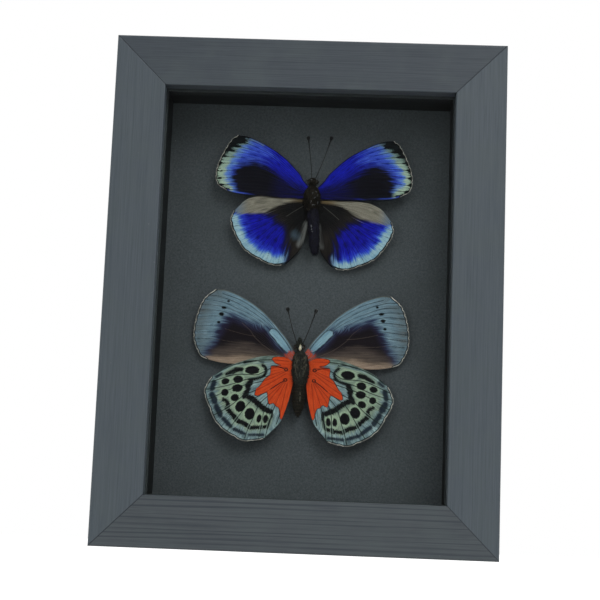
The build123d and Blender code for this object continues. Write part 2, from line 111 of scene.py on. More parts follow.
for name, place, size, power in (
    ("key", (0.45, -0.95, 0.98), 0.7, 7.4),
    ("fill", (-0.85, -0.95, 0.35), 1.1, 3.0),
    ("back", (0.3, 1.1, 0.8), 1.0, 5.0),
):
    lamp = bpy.data.lights.new(name, "AREA")
    lamp.size = size
    lamp.energy = power
    lamp_object = bpy.data.objects.new(name, lamp)
    scene.collection.objects.link(lamp_object)
    lamp_object.location = place
    lamp_object.visible_glossy = name != "fill"
    toward = Vector((0, 0, 0.08)) - Vector(place)
    lamp_object.rotation_euler = toward.to_track_quat("-Z", "Y").to_euler()

FLOOR_HALF = 3.0
floor_mesh = bpy.data.meshes.new("floor")
floor_mesh.from_pydata(
    [(-FLOOR_HALF, -FLOOR_HALF, 0), (FLOOR_HALF, -FLOOR_HALF, 0),
     (FLOOR_HALF, FLOOR_HALF, 0), (-FLOOR_HALF, FLOOR_HALF, 0)],
    [], [(0, 1, 2, 3)],
)
floor = bpy.data.objects.new("floor", floor_mesh)
scene.collection.objects.link(floor)
floor_paint = bpy.data.materials.new("white_floor")
floor_paint.use_nodes = True
tree = floor_paint.node_tree
tree.nodes.clear()
matt = put(tree, "BsdfDiffuse", {"Color": (0.5, 0.5, 0.5, 1)})
rays = put(tree, "LightPath")
seen = sums(tree, "MAXIMUM", rays.outputs["Is Camera Ray"], rays.outputs["Is Transmission Ray"])
way = put(tree, "SeparateXYZ", {0: put(tree, "TexCoord").outputs["Object"]}).outputs["Y"]
nearness = put(tree, "MapRange", {"Value": way, "From Min": -FRONT_REACH, "From Max": 0.0,
                                  "To Min": FRONT_DIM, "To Max": BACKDROP}).outputs["Result"]
seen = sums(tree, "MAXIMUM", seen, sums(tree, "MULTIPLY", rays.outputs["Is Glossy Ray"], nearness))
glow = put(tree, "Emission", {"Color": (1, 1, 1, 1), "Strength": sums(tree, "MULTIPLY", seen, FLOOR_GLOW)})
both = put(tree, "AddShader", {0: matt.outputs[0], 1: glow.outputs[0]})
tree.links.new(both.outputs[0], put(tree, "OutputMaterial").inputs["Surface"])
floor.data.materials.append(floor_paint)

# ---------------------------------------------------------------- wooden rails
# Four mitred pine rails, wire-brushed so that the grain stands up in fine ridges, then
# stained and sealed in a satin charcoal blue-grey. The bottom rail is flat-sawn, the rest straight.
rail_low, rail_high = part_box("rail_left")
CASE_HALF = -rail_low.x / MM
CASE_HEIGHT = rail_high.z / MM
RAIL_FRONT = rail_low.y / MM


def group(name, inputs, outputs):
    """A node group with those sockets, and the nodes at its two ends."""
    inner = bpy.data.node_groups.new(name, "ShaderNodeTree")
    for direction, sockets in (("INPUT", inputs), ("OUTPUT", outputs)):
        for socket_name, kind in sockets.items():
            inner.interface.new_socket(name=socket_name, in_out=direction, socket_type="NodeSocket" + kind)
    return inner, inner.nodes.new("NodeGroupInput").outputs, inner.nodes.new("NodeGroupOutput").inputs


def place_group(tree, inner, **sockets):
    """The node group in a material, with its inputs set by name."""
    node = tree.nodes.new("ShaderNodeGroup")
    node.node_tree = inner
    for name, value in sockets.items():
        socket = node.inputs[name.replace("_", " ").capitalize()]
        if isinstance(value, bpy.types.NodeSocket):
            tree.links.new(value, socket)
        else:
            socket.default_value = value
    return node.outputs


def mix(tree, share, *colours):
    """The first colour, turned into the second by a share of 0 to 1. Three numbers are a tone."""
    first, second = (tone(*each) if isinstance(each, tuple) and len(each) == 3 else each for each in colours)
    return put(tree, "Mix", {0: share, 6: first, 7: second}, data_type="RGBA").outputs[2]


def step(tree, value, low, high, to_low=0.0, to_high=1.0):
    """A soft step: to_low below low, to_high above high."""
    return put(tree, "MapRange", {"Value": value, "From Min": low, "From Max": high, "To Min": to_low,
                                  "To Max": to_high}, interpolation_type="SMOOTHSTEP").outputs["Result"]


def place_mm(tree):
    """The place on the object, in millimetres."""
    return put(tree, "VectorMath", {0: put(tree, "TexCoord").outputs["Object"], "Scale": 1 / MM},
               operation="SCALE").outputs[0]


def stretched(tree, place, shares):
    """A place drawn out, so that what is laid on it runs along the small shares."""
    return put(tree, "VectorMath", {0: place, 1: shares}, operation="MULTIPLY").outputs[0]


def noise(tree, vector, scale, detail=3.0, roughness=0.5, distortion=0.0):
    return put(tree, "TexNoise", {"Vector": vector, "Scale": scale, "Detail": detail, "Roughness": roughness,
                                  "Distortion": distortion}).outputs[0]


def new_material(name, roughness, **sockets):
    """A Principled material, its tree and its shader."""
    material = bpy.data.materials.new(name)
    material.use_nodes = True
    shader = material.node_tree.nodes["Principled BSDF"]
    shader.inputs["Roughness"].default_value = roughness
    for socket, value in sockets.items():
        shader.inputs[socket.replace("_", " ")].default_value = value
    return material, material.node_tree, shader


def finish_nodes(material, *names):
    """Gives these pieces that one material."""
    for name in names:
        nodes[name].data.materials.clear()
        nodes[name].data.materials.append(material)


def finish_with(tree, shader, colour, height=None, depth=0.0, roughness=None):
    """Joins colour, bump (depth in mm) and roughness to the shader."""
    tree.links.new(colour, shader.inputs["Base Color"])
    if height is not None:
        bump = put(tree, "Bump", {"Height": height, "Strength": 1.0, "Distance": depth * MM})
        tree.links.new(bump.outputs[0], shader.inputs["Normal"])
    if roughness is not None:
        tree.links.new(roughness, shader.inputs["Roughness"])


# brushed grain: fine ridges and broad growth bands, drawn out along the wood
grain, given, wanted = group("brushed_grain", {"Place": "Vector", "Stretch": "Vector", "Bands": "Float"},
                             {"Tone": "Float", "Height": "Float"})
drawn = stretched(grain, given["Place"], given["Stretch"])
fine = noise(grain, drawn, 2.6, 4.0, 0.6)
hair = noise(grain, drawn, 6.5, 2.0, 0.5)
wander = noise(grain, drawn, 0.16, 2.0, 0.5)
bent = put(grain, "VectorMath", {0: put(grain, "VectorMath", {0: (0.0, 6.0, 6.0), "Scale": wander},
                                        operation="SCALE").outputs[0], 1: drawn}, operation="ADD").outputs[0]
band = noise(grain, bent, 0.42, 1.0, 0.4)
line = step(grain, sums(grain, "ABSOLUTE", sums(grain, "SUBTRACT", band, 0.5)), 0.0, 0.05)
line = sums(grain, "SUBTRACT", 1.0, sums(grain, "MULTIPLY", sums(grain, "SUBTRACT", 1.0, line), given["Bands"]))
soft = sums(grain, "ADD", sums(grain, "MULTIPLY", fine, 0.6), sums(grain, "MULTIPLY", hair, 0.4))
grain.links.new(sums(grain, "MULTIPLY", soft, line), wanted["Tone"])
grain.links.new(sums(grain, "ADD", sums(grain, "MULTIPLY", fine, 0.5), sums(grain, "MULTIPLY", line, 0.7)),
                wanted["Height"])

# dust: a few pale specks that lie on any surface
dust, given, wanted = group("dust_specks", {"Place": "Vector", "Amount": "Float"}, {"Mask": "Float"})
cells = put(dust, "TexVoronoi", {"Vector": given["Place"], "Scale": 0.42})
near = step(dust, cells.outputs["Distance"], 0.03, 0.075, 1.0, 0.0)
chance = put(dust, "SeparateColor", {0: cells.outputs["Color"]}).outputs[0]
chosen = sums(dust, "LESS_THAN", chance, given["Amount"])
dust.links.new(sums(dust, "MULTIPLY", near, chosen), wanted["Mask"])

MITRE_HALF_GAP = 0.14
for label, stretch, bands, across_grain, line_gap, line_depth, dark, light, members in (
    ("upright", (1.0, 1.0, 0.018), 0.12, "X", 1.1, 0.12, (67, 77, 85), (87, 96, 103),
     ("rail_left", "rail_right")),
    ("level", (0.018, 1.0, 1.0), 0.15, "Z", 0.8, 0.3, (57, 65, 73), (74, 82, 89), ("rail_top",)),
    ("flat_sawn", (0.02, 1.0, 1.0), 0.15, "Z", 1.45, 0.72, (64, 71, 77), (83, 90, 94), ("rail_bottom",)),
):
    rail_paint, tree, shader = new_material("frame_paint_" + label, 0.46, Specular_IOR_Level=0.42)
    place = place_mm(tree)
    wood = place_group(tree, grain, place=place, stretch=stretch, bands=bands)
    mottle = noise(tree, place, 0.11, 2.0)
    colour = mix(tree, step(tree, wood["Tone"], 0.2, 0.72), dark, light)
    colour = mix(tree, step(tree, mottle, 0.35, 0.7, 0.0, 0.35), colour, (82, 92, 94))
    axis = put(tree, "SeparateXYZ", {0: place}).outputs
    drawn = stretched(tree, place, stretch)
    wander = sums(tree, "MULTIPLY", noise(tree, drawn, 0.3, 2.0), 2.6)
    across = sums(tree, "ADD", sums(tree, "ADD", axis[across_grain], axis["Y"]), wander)
    wave = sums(tree, "SINE", sums(tree, "MULTIPLY", across, 2 * math.pi / line_gap))
    fade = step(tree, noise(tree, drawn, 0.9, 2.0), 0.36, 0.62, 0.25, 1.0)
    growth = sums(tree, "MULTIPLY", step(tree, wave, 0.1, 1.0), sums(tree, "MULTIPLY", fade, line_depth))
    colour = mix(tree, growth, colour, (50, 57, 66))
    side_gap = sums(tree, "SUBTRACT", CASE_HALF, sums(tree, "ABSOLUTE", axis["X"]))
    end_gap = sums(tree, "MINIMUM", axis["Z"], sums(tree, "SUBTRACT", CASE_HEIGHT, axis["Z"]))
    off_mitre = sums(tree, "ABSOLUTE", sums(tree, "SUBTRACT", side_gap, end_gap))
    mitre = step(tree, off_mitre, MITRE_HALF_GAP * 0.5, MITRE_HALF_GAP * 2.2, 0.85, 0.0)
    colour = mix(tree, mitre, colour, (34, 40, 48))
    specks = place_group(tree, dust, place=place, amount=0.035)["Mask"]
    colour = mix(tree, sums(tree, "MULTIPLY", specks, 0.55), colour, (150, 156, 160))
    sheen = step(tree, wood["Tone"], 0.2, 0.8, 0.54, 0.4)
    height = sums(tree, "SUBTRACT", wood["Height"], mitre)
    finish_with(tree, shader, colour, height, 0.06, sheen)
    finish_nodes(rail_paint, *members)

# ---------------------------------------------------------------- fixings in the frame
# Zinc-plated V-nails driven in from behind across each mitre, and four zinc screws.
# The metal is dull and a little streaked, with darker traces where tools have touched it.
for label, low, high, roughness, node in (
    ("zinc_nails", (140, 142, 146), (190, 192, 194), 0.42, "corner_v_nails"),
    ("zinc_screws", (150, 152, 156), (205, 206, 208), 0.3, "button_screws"),
):
    metal, tree, shader = new_material(label, roughness, Metallic=1.0)
    place = place_mm(tree)
    cloud = noise(tree, place, 1.4, 4.0, 0.6)
    scratch = noise(tree, place, 9.0, 3.0, 0.7)
    colour = mix(tree, step(tree, cloud, 0.3, 0.7), low, high)
    sheen = step(tree, scratch, 0.3, 0.7, roughness - 0.1, roughness + 0.15)
    finish_with(tree, shader, colour, scratch, 0.02, sheen)
    finish_nodes(metal, node)

# ---------------------------------------------------------------- glass
# A 2 mm pane of clear float glass with ground edges, held between the lip and the dark walls.
# Shadows and soft light pass straight through it, so that the specimens are lit as in open air.
glass, tree, shader = new_material("clear_glass", 0.0, Transmission_Weight=1.0, IOR=1.45, Specular_IOR_Level=0.3)
place = place_mm(tree)
smear = noise(tree, place, 0.07, 2.0)
colour = mix(tree, smear, (0.965, 0.985, 0.975, 1), (0.99, 1.0, 0.995, 1))
tree.links.new(colour, shader.inputs["Base Color"])
rays = put(tree, "LightPath")
open_air = put(tree, "BsdfTransparent", {"Color": (0.97, 0.985, 0.98, 1)})
passing = sums(tree, "MAXIMUM", rays.outputs["Is Shadow Ray"], rays.outputs["Is Diffuse Ray"])
both = put(tree, "MixShader", {0: passing, 1: shader.outputs[0], 2: open_air.outputs[0]})
tree.links.new(both.outputs[0], tree.nodes["Material Output"].inputs["Surface"])
finish_nodes(glass, "glass_pane")

# ---------------------------------------------------------------- dark inner walls
# Four thin strips of the same wood, stained near black, that hold the glass against the lip
# and the paper against the board. They stand a hair inside the lip, which leaves a fine ledge;
# that ledge and the front half millimetre of the walls carry a painted highlight, a pale line.
wall, tree, shader = new_material("wall_black", 0.7, Specular_IOR_Level=0.12)
place = place_mm(tree)
wood = place_group(tree, grain, place=place, stretch=(0.05, 1.0, 0.05), bands=0.3)
colour = mix(tree, step(tree, wood["Tone"], 0.25, 0.75), (20, 23, 24), (34, 39, 41))
ledge = put(tree, "SeparateXYZ", {0: place}).outputs["Y"]
wall_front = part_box("spacer_left")[0].y / MM
# painted highlight: the ledge and the first 0.1 to 0.45 mm of the dark walls are painted pale (74, 80, 82)
edge = step(tree, ledge, wall_front + 0.1, wall_front + 0.45, 1.0, 0.0)
colour = mix(tree, sums(tree, "MULTIPLY", edge, 0.75), colour, (74, 80, 82))
finish_with(tree, shader, colour, wood["Height"], 0.03)
finish_nodes(wall, "spacer_top", "spacer_bottom", "spacer_left", "spacer_right")

# ---------------------------------------------------------------- mounting paper, board and back panel
# The specimens lie on a charcoal fibrous paper, glued to white foam board. Behind it a smooth
# brown hardboard panel closes the rebate.
paper, tree, shader = new_material("charcoal_paper", 0.9, Specular_IOR_Level=0.15)
place = place_mm(tree)
flock = noise(tree, place, 1.5, 5.0, 0.62)
tooth = noise(tree, place, 5.5, 3.0, 0.6)
cloud = noise(tree, place, 0.06, 2.0)
fibre = stretched(tree, place, (0.5, 0.5, 1.6))
fibre = noise(tree, fibre, 2.2, 2.0, 0.5, 1.2)
thread = step(tree, sums(tree, "ABSOLUTE", sums(tree, "SUBTRACT", fibre, 0.5)), 0.0, 0.018, 1.0, 0.0)
colour = mix(tree, step(tree, flock, 0.3, 0.72), (63, 69, 73), (83, 89, 93))
colour = mix(tree, step(tree, tooth, 0.35, 0.75, 0.0, 0.4), colour, (97, 101, 102))
colour = mix(tree, step(tree, cloud, 0.4, 0.7, 0.0, 0.3), colour, (70, 76, 77))
colour = mix(tree, sums(tree, "MULTIPLY", thread, 0.16), colour, (122, 125, 125))
specks = place_group(tree, dust, place=place, amount=0.03)["Mask"]
colour = mix(tree, sums(tree, "MULTIPLY", specks, 0.5), colour, (160, 162, 160))
finish_with(tree, shader, colour, sums(tree, "ADD", flock, tooth), 0.12)
finish_nodes(paper, "facing_paper")

board, tree, shader = new_material("foam_board", 0.8, Specular_IOR_Level=0.2)
place = place_mm(tree)
pores = put(tree, "TexVoronoi", {"Vector": place, "Scale": 2.6}).outputs["Distance"]
colour = mix(tree, step(tree, pores, 0.1, 0.6), (205, 203, 196), (230, 229, 224))
finish_with(tree, shader, colour, pores, 0.08)
finish_nodes(board, "mount_board")

panel, tree, shader = new_material("hardboard", 0.5, Specular_IOR_Level=0.35)
place = place_mm(tree)
fleck = stretched(tree, place, (1.0, 1.0, 0.55))
chips = noise(tree, fleck, 1.3, 6.0, 0.7, 0.6)
shade = noise(tree, place, 0.05, 3.0)
colour = mix(tree, step(tree, chips, 0.3, 0.7), (96, 66, 44), (146, 106, 74))
colour = mix(tree, step(tree, shade, 0.35, 0.7, 0.0, 0.45), colour, (112, 80, 56))
finish_with(tree, shader, colour, chips, 0.05, step(tree, chips, 0.3, 0.7, 0.42, 0.6))
finish_nodes(panel, "back_panel")

# ---------------------------------------------------------------- turn buttons
# Pressed steel buttons, zinc plated, each free to turn on its screw. The plating is brushed
# along the button, with paler cloudy patches.
steel, tree, shader = new_material("button_steel", 0.34, Metallic=1.0)
place = place_mm(tree)
brushed = stretched(tree, place, (0.12, 1.0, 1.0))
hairline = noise(tree, brushed, 7.0, 3.0, 0.7)
cloud = noise(tree, place, 0.35, 3.0)
colour = mix(tree, step(tree, hairline, 0.3, 0.7), (142, 144, 147), (186, 187, 190))
colour = mix(tree, step(tree, cloud, 0.4, 0.7, 0.0, 0.5), colour, (160, 158, 152))
finish_with(tree, shader, colour, hairline, 0.015, step(tree, cloud, 0.3, 0.7, 0.26, 0.44))
finish_nodes(steel, *(name for name in nodes if name.startswith("turn_button")))

# ---------------------------------------------------------------- hanger and wall pads
# A brass-plated sawtooth hanger on two nails, and two soft black pads that hold the case
# parallel to the wall.
brass, tree, shader = new_material("hanger_brass", 0.34, Metallic=1.0)
place = place_mm(tree)
tarnish = noise(tree, place, 0.5, 5.0, 0.65)
scratch = noise(tree, stretched(tree, place, (0.2, 1, 1)), 8.0, 2.0)
colour = mix(tree, step(tree, tarnish, 0.35, 0.7), (206, 176, 110), (168, 132, 72))
finish_with(tree, shader, colour, scratch, 0.015, step(tree, tarnish, 0.3, 0.75, 0.26, 0.5))
finish_nodes(brass, "hanger_plate", "hanger_nails")

rubber, tree, shader = new_material("bumper_rubber", 0.78, Specular_IOR_Level=0.3)
place = place_mm(tree)
nap = noise(tree, place, 4.0, 4.0, 0.7)
lint = place_group(tree, dust, place=place, amount=0.3)["Mask"]
colour = mix(tree, step(tree, nap, 0.3, 0.7), (24, 24, 25), (44, 44, 45))
colour = mix(tree, sums(tree, "MULTIPLY", lint, 0.5), colour, (120, 120, 118))
finish_with(tree, shader, colour, nap, 0.06)
finish_nodes(rubber, "wall_bumpers")

# ---------------------------------------------------------------- risers
# A small block of cut closed-cell foam, glued to the paper under each thorax, that lifts
# the wings clear so that they throw a soft shadow.
foam, tree, shader = new_material("foam_block", 0.85, Specular_IOR_Level=0.2)
place = place_mm(tree)
cells = put(tree, "TexVoronoi", {"Vector": place, "Scale": 3.2}).outputs["Distance"]
colour = mix(tree, step(tree, cells, 0.1, 0.6), (150, 150, 146), (205, 204, 198))
finish_with(tree, shader, colour, cells, 0.15)
finish_nodes(foam, "upper_riser", "lower_riser")

# ---------------------------------------------------------------- wings
# Dried wings: a skin about an eighth of a millimetre thick, stiffened by veins and gently curved,
# covered with rows of fine scales. Each is drawn as a right-hand wing, in mm from the specimen's
# centre, and mirrored for the left.
UPPER_CENTRE = np.array((1.8, 117.0))
LOWER_CENTRE = np.array((-0.4, 60.0))
WING_CAMBER_RADIUS = 180.0
WING_SLOPE = math.tan(math.radians(2.2))
WING_SKIN = 0.13
WING_FRONT_SET = 0.07       # front of this skin, behind the front of the solid wing
WING_LAYER = 0.45
WING_FRINGE = 0.34          # how far the fringe of scales stands out past the skin
WING_SCALLOP = 0.26         # how much less it does so between two veins
WING_GRAIN = 0.3            # size of the wing mesh's cells
PAPER_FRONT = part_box("facing_paper")[0].y / MM
WING_CROWN = PAPER_FRONT - 3.6


def rounded(points, gap=WING_GRAIN, closed=False):
    """A smooth line through the points, in even steps of about that gap."""
    points = np.array(points, float)
    if closed:
        ends = points[-1], points[0], points[1]
        points = np.vstack([ends[0], points, ends[1], ends[2]])
    else:
        points = np.vstack([2 * points[0] - points[1], points, 2 * points[-1] - points[-2]])
    dense = []
    for before, start, end, after in zip(points, points[1:], points[2:], points[3:]):
        for t in np.linspace(0, 1, 24, endpoint=False):
            dense.append(0.5 * (2 * start + (end - before) * t
                                + (2 * before - 5 * start + 4 * end - after) * t ** 2
                                + (3 * start - before - 3 * end + after) * t ** 3))
    dense.append(points[-2])
    dense = np.array(dense)
    run = np.concatenate([[0], np.cumsum(np.linalg.norm(np.diff(dense, axis=0), axis=1))])
    count = max(2, int(run[-1] / gap) + 1)
    even = np.linspace(0, run[-1], count)
    return np.column_stack([np.interp(even, run, dense[:, axis]) for axis in range(dense.shape[1])])


def from_line(places, path):
    """Distance of each place from a line of points."""
    nearest = np.full(len(places), 1e9)
    for start, end in zip(path, path[1:]):
        run = end - start
        share = np.clip(((places - start) @ run) / (run @ run), 0, 1)
        nearest = np.minimum(nearest, np.linalg.norm(places - start - share[:, None] * run, axis=1))
    return nearest


def from_patch(places, outline):
    """Distance of each place from the edge of a rounded patch, negative inside it."""
    edge = rounded(outline, closed=True)
    inside = np.zeros(len(places), bool)
    for (x0, z0), (x1, z1) in zip(edge, np.roll(edge, -1, axis=0)):
        crosses = (z0 > places[:, 1]) != (z1 > places[:, 1])
        slope = (x1 - x0) / (z1 - z0 if z1 != z0 else 1e-9)
        inside ^= crosses & (places[:, 0] < x0 + (places[:, 1] - z0) * slope)
    return from_line(places, edge) * np.where(inside, -1, 1)


def from_spot(places, spot):
    """Distance of each place from the edge of an oval spot: centre, half width, half height, turn."""
    x, z, half_width, half_height, turn = spot
    angle = math.radians(turn)
    along = (places[:, 0] - x) * math.cos(angle) + (places[:, 1] - z) * math.sin(angle)
    across = (places[:, 1] - z) * math.cos(angle) - (places[:, 0] - x) * math.sin(angle)
    return (np.hypot(along / half_width, across / half_height) - 1) * min(half_width, half_height)


def from_stroke(places, stroke):
    """Distance of each place from the edge of a brush stroke: points, then half its width."""
    path, half_width = stroke
    return from_line(places, rounded(path)) - half_width


def between_veins(places, veins):
    """A number that is each vein's own along it, and runs evenly from one vein to the next."""
    weights = [1 / (from_line(places, rounded(vein, 1.0)) + 0.05) ** 3 for vein in veins]
    return sum(index * weight for index, weight in enumerate(weights)) / sum(weights)


def wing(name, outline, veins, hub, centre, pose, left, forward, layer, marks, material):
    """A thin closed wing. Its marks are stored at each point for the material to colour."""
    leading, margin, rear = (rounded(edge) for edge in outline)
    closing = np.linspace(rear[-1], leading[0], 8)[1:-1]
    rim = np.vstack([leading[:-1], margin[:-1], rear, closing])
    count = len(rim)
    reach = np.linalg.norm(rim - hub, axis=1).max()
    rings = int(reach / WING_GRAIN)
    front_shares = np.arange(1, rings + 1) / rings
    back_shares = np.linspace(1, 0.25, 5)
    shares = np.concatenate([front_shares, back_shares])
    flat = np.vstack([hub] + [hub + (rim - hub) * share for share in shares] + [hub])
    across = between_veins(flat, veins)
    vein_gap = np.min([from_line(flat, rounded(vein, 1.0)) for vein in veins], axis=0)
    stored = dict(marks(flat, left), across=across + (20 if left else 0), veins=vein_gap,
                  margin=from_line(flat, margin), along=np.linalg.norm(flat - hub, axis=1))
    outward = flat - hub
    outward /= np.maximum(np.linalg.norm(outward, axis=1), 1.0)[:, None]
    fringe = (WING_FRINGE - WING_SCALLOP * np.sin(math.pi * across) ** 2) * np.exp(-stored["margin"] / 0.8)
    flat = flat + outward * fringe[:, None]
    behind = np.zeros(len(flat))
    behind[1 + rings * count:] = 1
    raised, shift_x, shift_z = pose
    turn = math.radians(raised)
    x, z = flat[:, 0] * (-1 if left else 1), flat[:, 1]
    x, z = x * math.cos(turn) + z * math.sin(turn) + shift_x, z * math.cos(turn) - x * math.sin(turn) + shift_z
    toward = 1 if forward else -1
    y = WING_CROWN + layer + toward * (z ** 2 / (2 * WING_CAMBER_RADIUS) - np.abs(x) * WING_SLOPE)
    fold = 0.05 * np.cos(2 * math.pi * across)
    ridge = 0.035 * np.exp(-(vein_gap / 0.22) ** 2)
    y += WING_FRONT_SET - WING_SKIN + behind * WING_SKIN + fold - ridge * (1 - behind)
    points = np.column_stack([x + centre[0], y, z + centre[1]])
    faces = []
    around = np.arange(count)
    following = np.roll(around, -1)
    for ring in range(len(shares) - 1):
        low = 1 + ring * count
        for a, b in zip(around, following):
            faces.append((low + a, low + b, low + count + b, low + count + a))
    last = len(flat) - 1
    for a, b in zip(around, following):
        faces.append((0, 1 + b, 1 + a))
        faces.append((last, last - count + a, last - count + b))
    if left:
        faces = [face[::-1] for face in faces]
    return piece(name, points, faces, material, stored, (name,))


def piece(name, points, faces, material, fields=None, stands_for=(), body="case"):
    """A mesh piece from points in mm, with numbers stored at its points, riding on its body."""
    mesh = bpy.data.meshes.new(name)
    mesh.from_pydata((np.asarray(points) * MM).tolist(), [], [tuple(map(int, face)) for face in faces])
    for field, values in (fields or {}).items():
        attribute = mesh.attributes.new(field, "FLOAT", "POINT")
        attribute.data.foreach_set("value", np.asarray(values, np.float32))
    mesh.shade_smooth()
    mesh.materials.append(material)
    mesh.update()
    thing = bpy.data.objects.new(name + "_dressed", mesh)
    scene.collection.objects.link(thing)
    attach(thing, body)
    if stands_for:
        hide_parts(*stands_for)
    return thing


# rows of scales: streaks that run with the veins, from fine to broad, and a fine grain
scales, given, wanted = group("wing_scales", {"Across": "Float", "Along": "Float"},
                              dict.fromkeys(("Fine", "Streak", "Ray", "Broad", "Grain"), "Float"))
flow = put(scales, "CombineXYZ", {0: sums(scales, "MULTIPLY", given["Across"], 6.0),
                                  1: sums(scales, "MULTIPLY", given["Along"], 0.3)}).outputs[0]
for output, fineness, stretch in (("Fine", 4.5, 0.16), ("Streak", 2.0, 0.55), ("Ray", 0.85, 0.4),
                                  ("Broad", 0.4, 0.6)):
    drawn = stretched(scales, flow, (1.0, stretch, 1.0))
    level = put(scales, "MapRange", {"Value": noise(scales, drawn, fineness, 2.0, 0.55), "From Min": 0.32,
                                     "From Max": 0.68}).outputs["Result"]
    scales.links.new(level, wanted[output])
scales.links.new(noise(scales, place_mm(scales), 5.0, 2.0, 0.6), wanted["Grain"])


def field(tree, name):
    """A number stored at the wing's points."""
    return put(tree, "Attribute", attribute_name=name).outputs["Fac"]


def within(tree, distance, soft, wobble=None, reach=0.0):
    """1 inside a mark and 0 outside, with an edge that softens and follows the streaks."""
    if wobble is not None:
        shift = sums(tree, "MULTIPLY", sums(tree, "SUBTRACT", wobble, 0.5), 2 * reach)
        distance = sums(tree, "ADD", distance, shift)
    return step(tree, distance, -soft, soft, 1.0, 0.0)


class WingPaint:
    """A wing's material, laid on in coats. A wing's marks are known by their names."""

    def __init__(self, name, first, second, streak="Streak"):
        self.material, self.tree, self.shader = new_material(name, 0.6, Specular_IOR_Level=0.06)
        across, along = field(self.tree, "across"), field(self.tree, "along")
        self.streaks = place_group(self.tree, scales, across=across, along=along)
        self.colour = self.streaked(first, second, streak)

    def streaked(self, first, second, streak="Streak"):
        """A paint that goes from one tone to the other streak by streak."""
        return mix(self.tree, self.streaks[streak], first, second)

    def blend(self, share, first, second):
        """The first paint, turned into the second by a share."""
        return mix(self.tree, share, first, second)

    def cut(self, share, other):
        """A share cut down by another."""
        return sums(self.tree, "MULTIPLY", share, other)

    def near(self, mark, low, high, most=1.0, least=0.0):
        """A share that is most up to low mm from a mark, and least from high mm on."""
        return step(self.tree, field(self.tree, mark), low, high, most, least)

    def strands(self, streak, low, high, least=0.0, most=1.0):
        """A share that follows the streaks."""
        return step(self.tree, self.streaks[streak], low, high, least, most)

    def inside(self, mark, grown, soft, streak=None, reach=0.0):
        """A share that is 1 inside a mark grown by some mm, with an edge drawn out by streaks."""
        distance = field(self.tree, mark)
        if grown:
            distance = sums(self.tree, "SUBTRACT", distance, grown)
        return within(self.tree, distance, soft, self.streaks[streak] if streak else None, reach)

    def coat(self, share, paint, strength=None):
        """Lays a tone or a paint over the wing where the share says."""
        if strength is not None:
            share = self.cut(share, strength)
        self.colour = mix(self.tree, share, self.colour, paint)

    def finish(self, fringe, border, edge_tone):
        """The dark line and fine white fringe at the margin, the relief of the scale rows and veins."""
        self.coat(self.near("margin", border, border + 0.16, 0.92), edge_tone)
        tooth = sums(self.tree, "SINE", self.cut(field(self.tree, "across"), math.pi))
        open_fringe = step(self.tree, sums(self.tree, "ABSOLUTE", tooth), 0.05, 0.22, 0.45, 1.0)
        white = self.cut(self.inside("margin", fringe, 0.06), open_fringe)
        self.coat(white, (214, 211, 200), self.strands("Streak", 0.1, 0.4, 0.75))
        self.coat(self.strands("Grain", 0.3, 0.7, 0.0, 0.14), (0, 0, 0))
        height = sums(self.tree, "ADD", self.cut(self.streaks["Streak"], 0.3), self.near("veins", 0.03, 0.2))
        finish_with(self.tree, self.shader, self.colour, height, 0.05)


# ---- upper forewings: ultramarine with a black middle, sage patches and a white fringe
upper_forewing = (
    ((1.0, 2.2), (3.3, 4.6), (5.4, 7.6), (11.3, 13.1), (18.2, 17.1), (23.0, 18.9), (25.9, 19.1)),
    ((25.9, 19.1), (28.3, 16.8), (31.4, 10.0), (32.3, 5.1), (31.4, 1.9), (28.4, 0.0)),
    ((28.4, 0.0), (24.6, -0.8), (12.1, -1.4), (1.0, -1.2)),
)
upper_fore_veins = (
    ((2.0, 3.0), (7.0, 8.3), (13.0, 13.4), (19.8, 16.9), (25.5, 18.6)),
    ((3.0, 2.6), (9.0, 8.6), (15.0, 13.2), (21.0, 15.9), (27.6, 17.6)),
    ((4.0, 2.4), (10.0, 8.0), (15.5, 12.2), (21.5, 14.4), (28.9, 15.8)),
    ((5.0, 2.4), (11.0, 7.6), (16.0, 11.3), (22.0, 12.9), (29.9, 13.8)),
    ((5.0, 2.0), (11.5, 7.0), (16.0, 10.2), (23.0, 11.4), (30.7, 11.5)),
    ((5.0, 1.7), (11.5, 6.2), (16.5, 9.0), (23.0, 9.5), (31.3, 9.1)),
    ((5.0, 1.3), (11.5, 5.0), (17.0, 7.2), (23.0, 7.3), (31.7, 6.4)),
    ((4.5, 0.9), (11.0, 3.4), (17.0, 4.9), (23.0, 4.9), (31.6, 3.9)),
    ((4.0, 0.5), (11.0, 1.8), (21.0, 2.4), (30.9, 1.8)),
    ((3.0, 0.0), (12.0, 0.0), (21.0, 0.2), (29.0, 0.3)),
)
upper_fore_dark = ((2.6, 1.4), (6.5, 2.9), (10.5, 4.9), (13.6, 7.0), (17.0, 8.9), (20.2, 9.9), (23.0, 9.2),
                   (25.0, 7.5), (26.0, 5.6), (26.5, 3.4), (26.4, 1.2), (25.6, -0.9), (18.0, -2.0), (8.0, -2.2),
                   (2.0, -1.6))
upper_fore_pale_streak = (((17.4, 16.4), (20.4, 17.6), (23.4, 18.2)), 0.3)


def upper_fore_marks(places, left):
    margin = from_line(places, rounded(upper_forewing[1]))
    vein = np.min([from_line(places, rounded(path, 1.0)) for path in upper_fore_veins[1:]], axis=0)
    apex = np.clip((places[:, 1] - 9.5) / 9.0, 0, 1)
    rise = np.clip((places[:, 1] - 7.0) / 9.0, 0, 1)
    return {
        "dark": from_patch(places, upper_fore_dark),
        "black": margin - 0.55 - 4.3 * apex ** 2.0 - 1.5 * np.exp(-(vein / 0.2) ** 1.1),
        "sage": margin - 3.1 - 1.4 * rise,
        "rise": rise,
        "streak_mark": from_stroke(places, upper_fore_pale_streak),
        "leading": from_line(places, rounded(upper_forewing[0])),
        "rear": from_line(places, rounded(upper_forewing[2])),
    }


